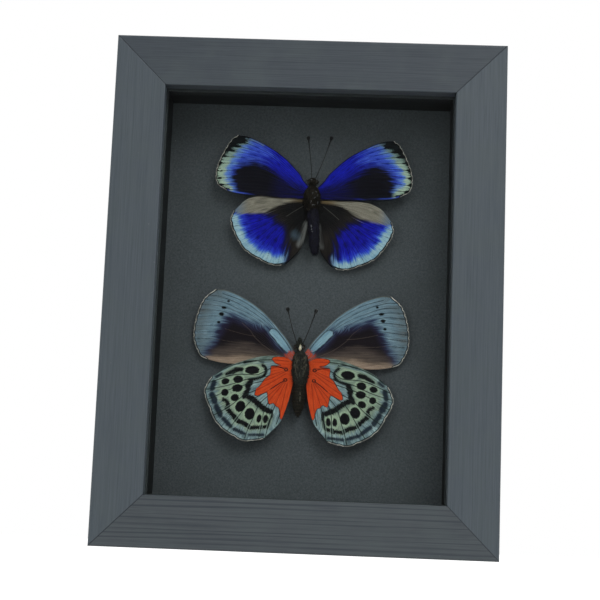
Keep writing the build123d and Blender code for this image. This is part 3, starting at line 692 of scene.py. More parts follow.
blue_fore = paint = WingPaint("wing_blue_fore", (9, 14, 128), (28, 38, 204))
paint.coat(paint.inside("margin", 11.5, 4.5, "Broad", 3.2), paint.streaked((32, 50, 176), (84, 118, 242)))
paint.coat(paint.inside("dark", 1.6, 2.0, "Ray", 1.2), (11, 11, 66), 0.55)
paint.coat(paint.inside("sage", 0.7, 1.1, "Ray", 1.4), paint.streaked((72, 110, 204), (122, 164, 214)))
leaf = paint.streaked((138, 166, 150), (186, 208, 184))
leaf = paint.blend(field(paint.tree, "rise"), leaf, paint.streaked((62, 84, 94), (144, 176, 172)))
paint.coat(paint.inside("sage", -0.6, 0.5, "Ray", 0.9), leaf)
ink = paint.blend(paint.cut(paint.near("along", 3.0, 15.0, 0.8), paint.streaks["Ray"]), (8, 8, 18), (14, 14, 108))
paint.coat(paint.inside("dark", 0.0, 1.0, "Ray", 1.2), ink)
paint.coat(paint.near("veins", 0.05, 0.24, 0.75), (12, 18, 30), paint.near("margin", 5.5, 9.0, 1.0, 0.3))
paint.coat(paint.inside("black", 0.0, 0.38, "Streak", 0.9), (13, 18, 20))
paint.coat(paint.inside("streak_mark", 0.0, 0.25, "Streak", 0.3), (120, 146, 160), 0.6)
paint.coat(paint.near("leading", 0.12, 0.45, 0.9), (10, 11, 26))
tip = paint.cut(paint.near("rear", 0.15, 0.6), paint.near("margin", 4.5, 8.0))
paint.coat(tip, (60, 84, 190), 0.7)
paint.finish(0.14, 0.3, (12, 16, 18))

# ---- upper hindwings: silky cream front edge, black cell, royal blue fan and a sky-blue border
upper_hindwing = (
    ((1.0, -1.5), (3.6, -1.6), (16.5, -2.0), (20.2, -3.0), (23.0, -4.6), (25.9, -8.4)),
    ((25.9, -8.4), (26.6, -11.8), (24.8, -15.7), (21.4, -20.1), (18.5, -21.9), (13.2, -23.9), (10.6, -24.3),
     (8.2, -24.0)),
    ((8.2, -24.0), (6.0, -22.9), (2.7, -18.0), (1.6, -12.3), (1.0, -4.6)),
)
upper_hind_veins = (
    ((2.0, -2.2), (10.0, -2.9), (17.0, -4.0), (22.5, -6.2), (26.0, -9.4)),
    ((3.0, -3.0), (11.0, -5.2), (16.0, -7.6), (21.0, -9.3), (26.4, -11.2)),
    ((3.4, -3.6), (10.0, -6.4), (14.8, -9.2), (20.0, -11.8), (25.9, -13.8)),
    ((3.6, -4.2), (9.0, -7.4), (13.8, -10.6), (19.0, -14.0), (24.2, -17.0)),
    ((3.6, -4.8), (8.4, -8.2), (12.6, -11.6), (17.0, -16.0), (21.6, -20.0)),
    ((3.4, -5.6), (7.8, -9.2), (11.4, -12.4), (14.8, -17.4), (17.8, -22.2)),
    ((3.2, -6.4), (7.2, -10.4), (10.0, -14.0), (12.2, -18.6), (13.4, -23.8)),
    ((3.0, -7.0), (6.4, -12.0), (8.6, -17.0), (9.4, -24.1)),
    ((2.6, -7.6), (4.8, -13.0), (6.2, -18.0), (6.8, -23.2)),
)
cream_patch = ((1.5, -1.7), (9.0, -1.6), (16.5, -1.8), (20.5, -2.9), (23.8, -4.9), (26.2, -8.4), (25.0, -9.3),
               (21.5, -8.7), (17.8, -8.1), (15.4, -7.6), (13.2, -5.9), (10.6, -4.1), (7.4, -2.9), (3.5, -2.4))
fan_patch = ((14.6, -8.4), (18.5, -7.6), (23.0, -8.0), (27.5, -9.0), (27.5, -14.0), (23.0, -20.5), (17.0, -24.5),
             (8.2, -25.5), (7.9, -21.0), (8.0, -15.0), (9.2, -12.2), (11.8, -10.4))
left_fold = (((1.6, -9.6), (1.9, -12.4), (2.4, -14.6), (3.6, -16.6)), 0.75)
right_fold = (((2.0, -10.4), (2.1, -12.8), (2.6, -15.6), (3.2, -17.2)), 0.5)
left_bloom = (5.0, -13.9, 1.3, 1.6, -30)
hairline = (((3.4, -3.6), (6.0, -5.6), (8.8, -8.0)), 0.06)


def upper_hind_marks(places, left):
    return {
        "cream": from_patch(places, cream_patch),
        "fan": from_patch(places, fan_patch),
        "fold": from_stroke(places, left_fold if left else right_fold),
        "bloom": from_spot(places, left_bloom) + (0 if left else 9),
        "hairline": from_stroke(places, hairline),
        "low": from_line(places, rounded(((26.6, -11.8), (24.8, -15.7), (21.4, -20.1), (18.5, -21.9),
                                          (13.2, -23.9), (10.6, -24.3), (6.0, -22.9), (3.6, -19.6)))),
    }


blue_hind = paint = WingPaint("wing_blue_hind", (9, 10, 12), (18, 18, 18), "Broad")
paint.coat(paint.near("along", 7.0, 12.0, 0.0, 1.0), paint.streaked((18, 16, 15), (36, 32, 29), "Ray"))
paint.coat(paint.inside("fan", 0.8, 1.3, "Ray", 1.2), (11, 11, 62))
royal, bright = paint.streaked((10, 12, 104), (24, 28, 190)), paint.streaked((24, 30, 176), (58, 84, 232))
royal = paint.blend(paint.inside("low", 4.6, 1.6, "Ray", 1.4), royal, bright)
paint.coat(paint.inside("fan", -0.5, 1.0, "Ray", 1.1), royal)
fan = paint.inside("fan", 0.0, 1.1, "Ray", 0.9)
paint.coat(paint.inside("low", 3.0, 0.8, "Ray", 1.1), paint.streaked((70, 112, 206), (110, 160, 216)), fan)
paint.coat(paint.inside("low", 2.2, 0.6, "Ray", 0.9), paint.streaked((124, 168, 192), (178, 212, 220)), fan)
paint.coat(paint.near("veins", 0.05, 0.18, 0.75), (12, 20, 44), fan)
silk = paint.streaked((104, 101, 90), (158, 153, 138), "Fine")
silk = paint.blend(paint.cut(paint.streaks["Ray"], 0.25), silk, (92, 90, 84))
silk = paint.blend(paint.near("along", 3.0, 9.0), silk, (104, 88, 62))
silk = paint.blend(paint.near("along", 20.0, 26.0, 0.0, 1.0), silk, (104, 126, 148))
paint.coat(paint.inside("cream", 0.0, 0.6, "Ray", 0.9), silk)
paint.coat(paint.inside("fold", 0.0, 1.0, "Ray", 0.5), (128, 130, 128), 0.6)
paint.coat(paint.inside("bloom", 0.0, 1.1, "Ray", 0.6), (92, 120, 140), 0.34)
paint.coat(paint.inside("hairline", 0.0, 0.1), (112, 110, 104), 0.6)
paint.coat(paint.near("low", 0.36, 0.56, 0.9), (12, 14, 18))
paint.finish(0.16, 0.32, (12, 14, 18))

# ---- lower forewings, seen from beneath: dusty blue round a plum-black middle, tan rear edge
lower_forewing = (
    ((1.0, 3.6), (2.7, 6.4), (5.5, 10.2), (12.5, 17.2), (19.1, 21.4), (25.3, 23.7), (28.7, 23.7)),
    ((28.7, 23.7), (32.4, 20.3), (34.5, 14.1), (34.8, 7.6), (32.5, 2.4), (30.1, 0.9)),
    ((30.1, 0.9), (25.9, 0.1), (20.6, -0.1), (11.0, 0.2), (1.0, 0.4)),
)
lower_fore_veins = (
    ((2.6, 5.4), (6.6, 10.2), (11.1, 15.0), (16.0, 18.4), (20.5, 20.8), (26.5, 22.6)),
    ((3.1, 5.3), (7.4, 9.9), (11.4, 13.9), (16.0, 17.0), (21.5, 19.8), (27.4, 21.6), (30.9, 21.7)),
    ((3.5, 5.2), (8.0, 9.6), (11.6, 13.0), (16.0, 15.8), (21.0, 17.9), (26.1, 19.8), (31.9, 20.3)),
    ((14.0, 13.6), (19.4, 16.2), (24.1, 17.9), (28.6, 18.6), (33.0, 18.6)),
    ((16.0, 13.0), (21.0, 15.2), (26.0, 16.8), (30.0, 17.0), (33.6, 16.7)),
    ((19.0, 13.0), (24.0, 14.8), (28.0, 15.2), (34.2, 14.6)),
    ((19.6, 12.4), (25.0, 12.4), (30.0, 12.0), (34.6, 11.6)),
    ((18.0, 10.0), (25.0, 10.3), (30.0, 9.9), (34.8, 9.5)),
    ((15.5, 7.0), (22.0, 7.2), (29.0, 7.6), (34.5, 7.4)),
    ((12.0, 4.8), (20.0, 5.2), (28.0, 5.2), (33.8, 5.0)),
    ((8.0, 2.6), (18.0, 3.0), (27.0, 3.0), (32.2, 2.8)),
)
lower_fore_dark = ((4.2, 4.4), (7.2, 7.2), (9.7, 10.6), (10.6, 12.2), (13.5, 12.6), (18.0, 13.8), (22.6, 15.2),
                   (25.6, 12.9), (27.3, 9.6), (29.0, 6.2), (30.4, 2.4), (24.0, 1.0), (15.0, 1.0), (6.0, 1.8))
lower_fore_brown = ((3.0, 2.5), (7.0, 3.3), (11.4, 4.5), (15.5, 5.6), (19.0, 6.0), (24.0, 5.0), (28.6, 3.0),
                    (27.5, -0.8), (14.0, -1.0), (3.0, -0.4))
lower_fore_tan = ((5.5, 1.9), (11.0, 2.6), (17.5, 2.7), (23.5, 2.1), (29.5, 1.8), (30.5, 0.2), (24.0, -1.0),
                  (12.0, -1.0), (5.0, 0.2))
cell_bar = ((4.1, 5.1), (6.3, 7.0), (8.4, 9.2), (10.0, 10.9), (9.3, 11.8), (7.9, 10.9), (5.9, 8.8), (4.2, 6.6),
            (3.5, 5.4))
lower_fore_spots = ((24.5, 20.2, 0.48, 0.36, 0), (25.9, 18.0, 0.85, 0.42, 8), (26.5, 15.9, 0.88, 0.62, 0),
                    (27.2, 13.2, 0.58, 0.45, 0))
tan_veins = (
    ((3.4, 2.4), (7.4, 4.0), (11.4, 6.1), (14.8, 8.8), (16.8, 11.2), (19.6, 13.5)),
    ((14.8, 9.3), (19.4, 9.9), (25.0, 11.2)),
    ((14.6, 6.9), (21.6, 7.0), (29.7, 7.8)),
    ((6.5, 2.8), (14.0, 3.8), (24.0, 4.0)),
)
red_root = ((0.6, 5.0), (2.2, 5.6), (3.9, 4.5), (4.6, 3.5), (3.4, 2.5), (0.6, 2.2))


def lower_fore_marks(places, left):
    return {
        "dark": from_patch(places, lower_fore_dark),
        "brown": from_patch(places, lower_fore_brown),
        "tan": from_patch(places, lower_fore_tan),
        "bar": from_patch(places, cell_bar),
        "spots": np.min([from_spot(places, spot) for spot in lower_fore_spots], axis=0),
        "tan_veins": np.min([from_line(places, rounded(path)) for path in tan_veins], axis=0),
        "red": from_patch(places, red_root),
        "leading": from_line(places, rounded(lower_forewing[0])),
    }


banded_fore = paint = WingPaint("wing_banded_fore", (94, 124, 142), (150, 180, 194))
paint.coat(paint.streaks["Broad"], (98, 122, 136), 0.4)
paint.coat(paint.near("margin", 0.5, 7.0, 0.9), (102, 106, 106), paint.streaks["Ray"])
paint.coat(paint.strands("Streak", 0.55, 0.8), (58, 74, 84), paint.near("margin", 1.2, 3.4, 0.6))
paint.coat(paint.near("veins", 0.05, 0.2, 0.85), (34, 46, 52), paint.near("margin", 5.0, 11.0, 1.0, 0.6))
paint.coat(paint.inside("dark", 0.8, 1.4, "Ray", 1.2), (42, 52, 92), 0.85)
plum = paint.blend(paint.near("dark", -3.0, -0.6, 0.0, 1.0), (25, 20, 25), (36, 34, 56))
paint.coat(paint.inside("dark", -0.3, 0.9, "Ray", 1.1), plum)
paint.coat(paint.inside("brown", 0.5, 2.0, "Ray", 0.5), paint.streaked((66, 58, 54), (96, 84, 77), "Fine"))
paint.coat(paint.inside("tan", 0.0, 1.1, "Ray", 0.5), paint.streaked((124, 106, 92), (176, 154, 134), "Fine"))
paint.coat(paint.near("tan_veins", 0.04, 0.15, 0.34), (118, 102, 90))
paint.coat(paint.inside("bar", 0.55, 0.25), (24, 26, 34))
pale_bar = paint.streaked((112, 152, 174), (160, 194, 206), "Fine")
pale_bar = paint.blend(paint.near("along", 3.0, 8.0, 0.5), pale_bar, (84, 116, 140))
paint.coat(paint.inside("bar", 0.3, 0.2, "Streak", 0.15), pale_bar)
paint.coat(paint.inside("spots", 0.0, 0.12, "Streak", 0.1), (12, 14, 18))
paint.coat(paint.near("leading", 0.15, 0.4, 0.8), (98, 98, 88))
paint.coat(paint.inside("red", 0.0, 0.5, "Ray", 0.9), (196, 74, 38), paint.strands("Streak", 0.2, 0.6, 0.35))
paint.finish(0.2, 0.4, (30, 38, 44))

# ---- lower hindwings, seen from beneath: orange-red base, black marks on sage, pale blue border
lower_hindwing = (
    ((1.0, 0.2), (4.8, 2.6), (9.0, 3.0), (14.9, 1.9), (23.7, -1.7), (28.7, -5.7)),
    ((28.7, -5.7), (30.4, -10.2), (28.6, -14.8), (25.0, -20.7), (19.3, -24.2), (15.4, -25.3), (9.9, -24.2)),
    ((9.9, -24.2), (5.6, -19.2), (4.3, -16.2), (3.0, -11.2), (2.4, -6.3), (1.0, -4.4)),
)
lower_hind_veins = (
    ((4.0, 1.6), (9.5, 1.6), (15.1, 0.9), (21.1, -0.8), (24.7, -2.6), (28.0, -5.0)),
    ((4.4, -0.4), (9.4, -1.0), (13.8, -3.6), (18.4, -3.9), (22.6, -4.7), (29.4, -7.6)),
    ((4.6, -1.2), (10.6, -3.8), (17.1, -5.4), (21.3, -7.2), (24.9, -8.5), (30.0, -9.9)),
    ((4.8, -1.8), (11.0, -5.2), (17.5, -7.3), (22.1, -9.1), (24.9, -10.7), (29.2, -13.1)),
    ((4.8, -2.6), (11.6, -7.4), (17.6, -10.8), (21.5, -14.4), (25.1, -17.0), (27.3, -18.4)),
    ((4.8, -4.6), (10.0, -8.6), (15.0, -12.2), (17.8, -16.3), (19.6, -19.3), (21.8, -22.8)),
    ((4.8, -4.8), (9.0, -9.4), (12.4, -13.3), (14.0, -18.2), (15.1, -21.3), (16.0, -25.0)),
    ((4.8, -5.2), (8.4, -10.4), (10.5, -14.8), (11.0, -20.4), (11.4, -24.6)),
    ((4.6, -5.6), (6.8, -11.6), (7.9, -15.8), (8.8, -20.1), (9.3, -23.6)),
    ((4.0, -5.6), (4.8, -11.6), (5.4, -15.6), (6.2, -19.2)),
)
red_patch = ((1.0, 0.2), (3.2, 1.8), (5.2, 2.7), (8.4, 2.6), (9.6, 1.9), (8.3, 0.6), (6.4, 0.0), (9.4, -0.5),
             (9.7, -1.6), (9.7, -3.4), (11.2, -4.7), (12.7, -7.2), (13.8, -8.6), (14.0, -10.4), (12.4, -10.0),
             (10.4, -9.1), (9.9, -10.1), (9.3, -12.8), (7.9, -12.4), (6.9, -13.3), (5.8, -14.0), (5.1, -17.0),
             (4.3, -16.7), (3.2, -12.4), (2.1, -7.0), (0.6, -4.0))
red_rings = ((4.8, -1.2, 0.5, 0.42, 0), (4.7, -4.6, 0.5, 0.42, 0))
red_lines = (((5.2, -1.1), (7.4, -0.5), (9.6, -0.4)), ((5.1, -4.9), (7.0, -6.2), (9.2, -8.0)))
hind_spots = (
    (15.75, -2.35, 2.3, 1.42, -6), (20.1, -5.7, 1.62, 1.25, -8), (24.1, -6.7, 1.35, 1.05, -20),
    (20.05, -8.6, 1.75, 1.3, -8), (23.9, -10.3, 1.2, 1.15, -30), (20.5, -11.75, 1.4, 1.18, -25),
    (18.4, -14.5, 1.65, 1.9, 20), (15.15, -16.6, 1.6, 1.95, 8), (9.85, -17.85, 0.82, 1.45, 4),
    (11.95, -17.9, 0.78, 1.38, 6),
)
hind_band = (
    (((12.5, -0.4), (11.5, -1.3), (11.3, -2.7), (12.1, -4.0), (13.9, -4.9), (15.9, -5.5)), 0.5),
    (((15.9, -5.9), (16.4, -6.9), (16.5, -8.3)), 0.9), (((16.6, -9.4), (17.2, -10.3), (17.5, -11.0)), 0.86),
    (((16.1, -11.1), (14.6, -11.7), (13.3, -12.7), (11.9, -13.8), (10.6, -14.5), (9.1, -15.2)), 0.92),
    (((8.1, -15.1), (7.8, -16.5), (8.3, -18.2), (8.7, -19.6)), 0.56),
    (((19.3, -2.4), (21.2, -2.8), (22.7, -3.6), (23.8, -4.4)), 0.66), (((19.4, -2.4), (21.2, -2.7)), 0.78),
    (((24.1, -12.7), (22.9, -13.3), (22.4, -14.4), (22.7, -15.4)), 0.58),
    (((21.9, -16.2), (20.5, -17.5), (19.1, -19.0)), 0.72), (((18.6, -19.3), (16.5, -19.9), (14.7, -21.1)), 0.74),
    (((13.8, -21.0), (11.7, -20.7), (9.2, -20.2)), 0.62), (((12.4, 0.6), (15.0, 0.7), (18.6, 0.0)), 0.16),
)
navy_dashes = (
    (((25.8, -4.4), (27.1, -5.4)), 0.45), (((27.7, -7.3), (28.2, -9.5)), 0.72), (((28.0, -11.3), (26.8, -13.6)), 0.8),
    (((26.2, -15.1), (24.6, -17.9)), 0.78), (((23.4, -19.0), (20.7, -21.1)), 0.62),
    (((19.8, -21.9), (16.0, -23.2)), 0.46), (((14.7, -23.4), (10.0, -23.0)), 0.34),
)
sage_patch = ((12.2, 0.4), (17.5, 0.0), (22.5, -2.0), (25.0, -4.0), (26.4, -7.5), (26.2, -11.2), (24.6, -14.4),
              (21.6, -17.2), (19.0, -20.0), (14.0, -21.8), (8.9, -20.8), (7.8, -17.0), (9.6, -14.6), (13.6, -12.0),
              (17.0, -10.4), (16.4, -7.0), (13.6, -4.8), (11.6, -3.2))
leading_patch = ((8.0, 3.2), (9.6, 1.0), (15.0, 0.7), (21.1, -0.9), (25.5, -3.2), (29.5, -6.2), (25.0, -1.6),
                 (17.0, 1.8), (10.5, 3.6))


def lower_hind_marks(places, left):
    return {
        "spots": np.min([from_spot(places, spot) for spot in hind_spots], axis=0),
        "band": np.min([from_stroke(places, stroke) for stroke in hind_band], axis=0),
        "navy": np.min([from_stroke(places, dash) for dash in navy_dashes], axis=0),
        "red": from_patch(places, red_patch),
        "rings": np.min([np.abs(from_spot(places, ring)) for ring in red_rings], axis=0),
        "red_lines": np.min([from_line(places, rounded(path)) for path in red_lines], axis=0),
        "sage": from_patch(places, sage_patch),
        "front_band": from_patch(places, leading_patch),
    }


banded_hind = paint = WingPaint("wing_banded_hind", (96, 120, 128), (168, 194, 194))
paint.coat(paint.strands("Ray", 0.45, 0.85), (74, 96, 106), 0.5)
paint.coat(paint.inside("sage", 0.0, 1.0, "Ray", 0.9), paint.streaked((100, 122, 114), (164, 182, 156)))
paint.coat(paint.inside("front_band", 0.0, 0.4, "Ray", 0.4), paint.streaked((70, 88, 84), (138, 158, 148)))
halo = paint.streaked((150, 176, 148), (180, 200, 172), "Ray")
paint.coat(paint.inside("spots", 0.5, 0.2, "Streak", 0.2), halo, 0.8)
paint.coat(paint.inside("band", 0.0, 0.16, "Fine", 0.34), (13, 15, 17))
flank = sums(paint.tree, "ABSOLUTE", sums(paint.tree, "SUBTRACT", field(paint.tree, "veins"), 0.36))
flank = step(paint.tree, flank, 0.05, 0.2, 0.5, 0.0)
paint.coat(flank, (150, 172, 160), paint.near("margin", 6.4, 7.4))
paint.coat(paint.strands("Fine", 0.55, 0.8), (52, 70, 78), paint.near("margin", 1.0, 3.4, 0.55))
paint.coat(paint.inside("navy", 0.12, 0.34, "Fine", 0.34), (14, 23, 40), 0.95)
paint.coat(paint.near("veins", 0.07, 0.24, 0.92), (26, 40, 36))
paint.coat(paint.inside("spots", 0.0, 0.1, "Fine", 0.16), (12, 13, 16))
paint.coat(paint.inside("red", 0.2, 0.14), (30, 28, 30))
ember = paint.streaked((200, 62, 24), (232, 92, 42))
ember = paint.blend(paint.cut(paint.streaks["Ray"], 0.3), ember, (178, 48, 22))
ember = paint.blend(paint.near("veins", 0.04, 0.2, 0.6), ember, (120, 40, 24))
paint.coat(paint.inside("red", 0.0, 0.12, "Streak", 0.2), ember)
paint.coat(paint.near("red_lines", 0.08, 0.24, 0.9), (44, 22, 20))
paint.coat(paint.near("rings", 0.1, 0.26, 0.9), (48, 30, 26))
paint.finish(0.2, 0.4, (24, 32, 38))

# ---- the eight wings: left wings mirror the right ones, each set a little differently
SET_LEVEL = (0.0, 0.0, 0.0)
for kind, outline, veins_of, hub, centre, left_pose, forward, layer, marks, paint, slot in (
    ("upper_forewing", upper_forewing, upper_fore_veins, (1.3, 0.5), UPPER_CENTRE, (1.1, 0.0, 0.0), True, 0.0,
     upper_fore_marks, blue_fore, "wing_blue"),
    ("upper_hindwing", upper_hindwing, upper_hind_veins, (1.4, -3.2), UPPER_CENTRE, (5.7, 0.9, -0.3), True,
     WING_LAYER, upper_hind_marks, blue_hind, "wing_blue"),
    ("lower_forewing", lower_forewing, lower_fore_veins, (1.4, 2.0), LOWER_CENTRE, (1.9, -0.4, -0.4), False,
     WING_LAYER, lower_fore_marks, banded_fore, "wing_banded"),
    ("lower_hindwing", lower_hindwing, lower_hind_veins, (1.6, -2.0), LOWER_CENTRE, (3.2, 0.4, -0.3), False, 0.0,
     lower_hind_marks, banded_hind, "wing_banded"),
):
    for side_name, pose in (("left", left_pose), ("right", SET_LEVEL)):
        wing(f"{kind}_{side_name}", outline, veins_of, np.array(hub), centre, pose, side_name == "left",
             forward, layer, marks, paint.material)

# ---------------------------------------------------------------- thoraxes and abdomens
# Dried bodies: a shaggy thorax, and a ringed abdomen under close scales that runs to a blunt tip.
# The upper thorax still has fine white dust on it, and the lower one pale bristles.
BODY_Y = WING_CROWN


def form(sections, sides=44, gap=0.14, dents=0.0, seed=0.0):
    """A closed round form along sections (x, y, z, radius), with small dents."""
    rings = rounded(sections, gap)
    points, ways = [], []
    for index, (*centre, radius) in enumerate(rings):
        axis = Vector(rings[min(index + 1, len(rings) - 1)][:3]) - Vector(rings[max(index - 1, 0)][:3])
        side = axis.cross(Vector((0.2, 1.0, 0.1))).normalized()
        other = axis.normalized().cross(side)
        for turn in np.linspace(0, 2 * math.pi, sides, endpoint=False):
            way = side * math.cos(turn) + other * math.sin(turn)
            place = Vector(centre) + way * max(radius, 0.01)
            lump = fractal(place * 0.9 + Vector((seed, 0, 0)), 1.0, 2.1, 3) if dents else 0
            points.append(place + way * lump * dents)
            ways.append(way)
    faces = []
    for ring in range(len(rings) - 1):
        low, high = ring * sides, (ring + 1) * sides
        for this in range(sides):
            following = (this + 1) % sides
            faces.append((low + this, low + following, high + following, high + this))
    for ring, end, way in ((0, rings[0], -1), (len(rings) - 1, rings[-1], 1)):
        points.append(Vector(end[:3]))
        ways.append(Vector((0, 0, way)))
        for this in range(sides):
            rim = ring * sides + this, ring * sides + (this + 1) % sides
            faces.append((len(points) - 1,) + (rim[::-1] if way < 0 else rim))
    return points, faces, [0.0] * len(points), ways


def coat(body, count, length, thickness, sweep, chance):
    """Fine tapering hairs, rooted over a form and swept one way."""
    points, ways = body[0], body[3]
    corners, faces, shades = [], [], []
    for root in chance.integers(0, len(points), count):
        way = (ways[root] * 0.55 + Vector(sweep) + Vector(chance.normal(0, 0.2, 3))).normalized()
        side = way.cross(Vector((0.3, 1.0, 0.2))).normalized()
        other = way.cross(side)
        reach = length * chance.uniform(0.5, 1.15)
        start = len(corners)
        for share, width in ((-0.08, 1.0), (0.5, 0.75)):
            for turn in (0, 2 * math.pi / 3, 4 * math.pi / 3):
                out = side * math.cos(turn) + other * math.sin(turn)
                corners.append(points[root] + way * reach * share + out * thickness * width)
        corners.append(points[root] + (way + Vector((0, 0.1, -0.15))) * reach)
        for this in range(3):
            following = (this + 1) % 3
            faces.append((start + this, start + following, start + 3 + following, start + 3 + this))
            faces.append((start + 3 + this, start + 3 + following, start + 6))
        faces.append((start, start + 2, start + 1))
        shades += [chance.uniform(0.2, 1.0)] * 7
    return corners, faces, shades


def body_piece(name, parts, material, marks=(), width=0.2):
    """A body piece with the shade of each hair, and its distance from the marks on its front."""
    points, faces, shades = [], [], []
    for part in parts:
        faces += [tuple(index + len(points) for index in face) for face in part[1]]
        points += part[0]
        shades += part[2]
    flat = np.array([(point[0], point[2]) for point in points])
    bright = np.full(len(flat), 9.0)
    for path in marks:
        bright = np.minimum(bright, from_line(flat, rounded(path)) - width)
    bright = np.where(np.array([point[1] for point in points]) < BODY_Y, bright, 9.0)
    stands_for = (name,) if name in nodes else ()
    return piece(name, points, faces, material, {"shade": shades, "bright": bright}, stands_for)


def coat_material(name, dark, light, mark, rings=None):
    """Dark scales and hairs, with pale marks, and rings where the body has them."""
    material, tree, shader = new_material(name, 0.6, Specular_IOR_Level=0.08)
    place = place_mm(tree)
    tuft = stretched(tree, place, (1.0, 1.0, 0.4))
    tuft = noise(tree, tuft, 2.4, 3.0)
    speck = noise(tree, place, 4.5, 3.0, 0.7)
    colour = mix(tree, step(tree, tuft, 0.3, 0.75), dark, light)
    colour = mix(tree, step(tree, field(tree, "shade"), 0.6, 1.1), colour, light)
    if rings:
        level = put(tree, "SeparateXYZ", {0: place}).outputs["Z"]
        saw = sums(tree, "FRACT", sums(tree, "DIVIDE", level, rings[0]))
        band = sums(tree, "MULTIPLY", step(tree, saw, 0.0, 0.22, 1.0, 0.0), step(tree, speck, 0.45, 0.62))
        colour = mix(tree, band, colour, rings[1])
    marked = within(tree, field(tree, "bright"), 0.14, speck, 0.35)
    marked = sums(tree, "MULTIPLY", marked, step(tree, speck, 0.36, 0.6))
    colour = mix(tree, marked, colour, mark)
    finish_with(tree, shader, colour, sums(tree, "ADD", tuft, speck), 0.12)
    return material


upper_coat = coat_material("upper_coat", (17, 15, 12), (38, 33, 24), (172, 176, 182))
upper_tail_coat = coat_material("upper_tail_coat", (14, 14, 19), (26, 26, 42), (196, 200, 206))
lower_coat = coat_material("lower_coat", (24, 25, 24), (58, 60, 54), (140, 142, 132))
lower_tail_coat = coat_material("lower_tail_coat", (22, 20, 16), (38, 35, 28), (150, 146, 126),
                                rings=(1.05, (84, 76, 56)))
chance = np.random.default_rng(11)
UPPER_X = 1.45
UPPER_Z = 115.8
thorax = form([(UPPER_X, BODY_Y, UPPER_Z + up, radius) for up, radius in (
    (-4.3, 0.7), (-3.6, 1.7), (-2.0, 2.5), (0.2, 2.8), (2.2, 2.45), (3.6, 1.75), (4.3, 0.8))], dents=0.16, seed=3.0)
white_dust = (
    ((1.5, 116.7), (1.8, 117.4)), ((2.5, 117.9), (3.0, 117.6)), ((3.4, 116.9), (3.3, 116.2)),
    ((2.6, 115.9), (2.2, 115.3)), ((1.3, 114.5), (1.1, 113.7)), ((1.6, 113.2), (2.5, 113.3)),
    ((3.3, 113.7), (3.5, 114.5)), ((0.9, 111.9), (1.4, 111.5)), ((1.7, 110.9), (2.5, 111.0)),
)
body_piece("upper_thorax", (thorax, coat(thorax, 1900, 0.95, 0.035, (0, -0.1, -0.9), chance)), upper_coat,
           white_dust, 0.1)
abdomen = form([(1.85 + 0.079 * down, BODY_Y, 112.2 - down, radius) for down, radius in (
    (15.3, 0.35), (14.9, 0.9), (13.4, 1.35), (12.3, 1.58), (11.2, 1.62), (10.0, 1.78), (8.8, 1.74), (7.6, 1.86),
    (6.4, 1.8), (5.2, 1.9), (4.0, 1.82), (2.6, 1.9), (1.2, 1.8), (0.0, 1.6))], dents=0.06, seed=5.0)
tail_dash = (((1.5, 106.5), (1.62, 105.9)), ((1.75, 105.3), (1.7, 105.0)), ((1.9, 104.5), (2.0, 104.3)))
body_piece("upper_abdomen", (abdomen, coat(abdomen, 1100, 0.6, 0.03, (0, -0.05, -1.2), chance)), upper_tail_coat,
           tail_dash, 0.12)

LOWER_X = -0.2
LOWER_Z = 59.3
thorax = form([(LOWER_X + aside, BODY_Y, LOWER_Z + up, radius) for aside, up, radius in (
    (0, -5.6, 1.3), (0, -4.7, 2.0), (0, -2.4, 2.65), (0, 0.2, 2.8), (-0.1, 2.6, 2.45), (-0.3, 4.4, 1.9),
    (-0.4, 5.6, 1.1))], dents=0.2, seed=9.0)
bristles = [((x, z), (x + lean, z - drop)) for x, z, lean, drop in zip(
    chance.uniform(-2.2, 1.7, 15), chance.uniform(55.4, 63.4, 15), chance.normal(0, 0.25, 15),
    chance.uniform(0.5, 1.6, 15))]
body_piece("lower_thorax", (thorax, coat(thorax, 1700, 1.0, 0.035, (0, -0.1, -0.9), chance)), lower_coat,
           bristles, 0.07)
abdomen = form([(-0.3 - 0.026 * down, BODY_Y, 54.5 - down, radius) for down, radius in (
    (10.95, 0.25), (10.2, 0.75), (9.2, 1.25), (8.1, 1.72), (7.0, 1.86), (5.9, 2.02), (4.8, 2.0), (3.7, 2.06),
    (2.6, 1.94), (1.5, 1.92), (0.4, 1.7), (0.0, 1.5))], dents=0.05, seed=14.0)
belly_dashes = (((0.0, 51.3), (0.05, 50.6)), ((0.1, 49.9), (0.1, 48.6)))
body_piece("lower_abdomen", (abdomen, coat(abdomen, 700, 0.5, 0.028, (0, -0.05, -1.2), chance)), lower_tail_coat,
           belly_dashes, 0.12)

# ---------------------------------------------------------------- heads, eyes and palps
# Small round heads between two big faceted eyes. The lower head, seen from beneath, has a pair
# of dark scaly palps and one pale golden tuft at the mouth.
eye_skin, tree, shader = new_material("eye_skin", 0.28, Specular_IOR_Level=0.4)
facet = put(tree, "TexVoronoi", {"Vector": place_mm(tree), "Scale": 9.0}).outputs["Distance"]
colour = mix(tree, step(tree, facet, 0.1, 0.6), (44, 34, 22), (17, 14, 11))
finish_with(tree, shader, colour, facet, 0.05)


def ball(x, y, z, radius, sides=28):
    """A rounded knob."""
    return form([(x, y, z + radius * lift, radius * math.sqrt(1 - lift ** 2))
                 for lift in (-0.99, -0.9, -0.7, -0.38, 0, 0.38, 0.7, 0.9, 0.99)], sides)


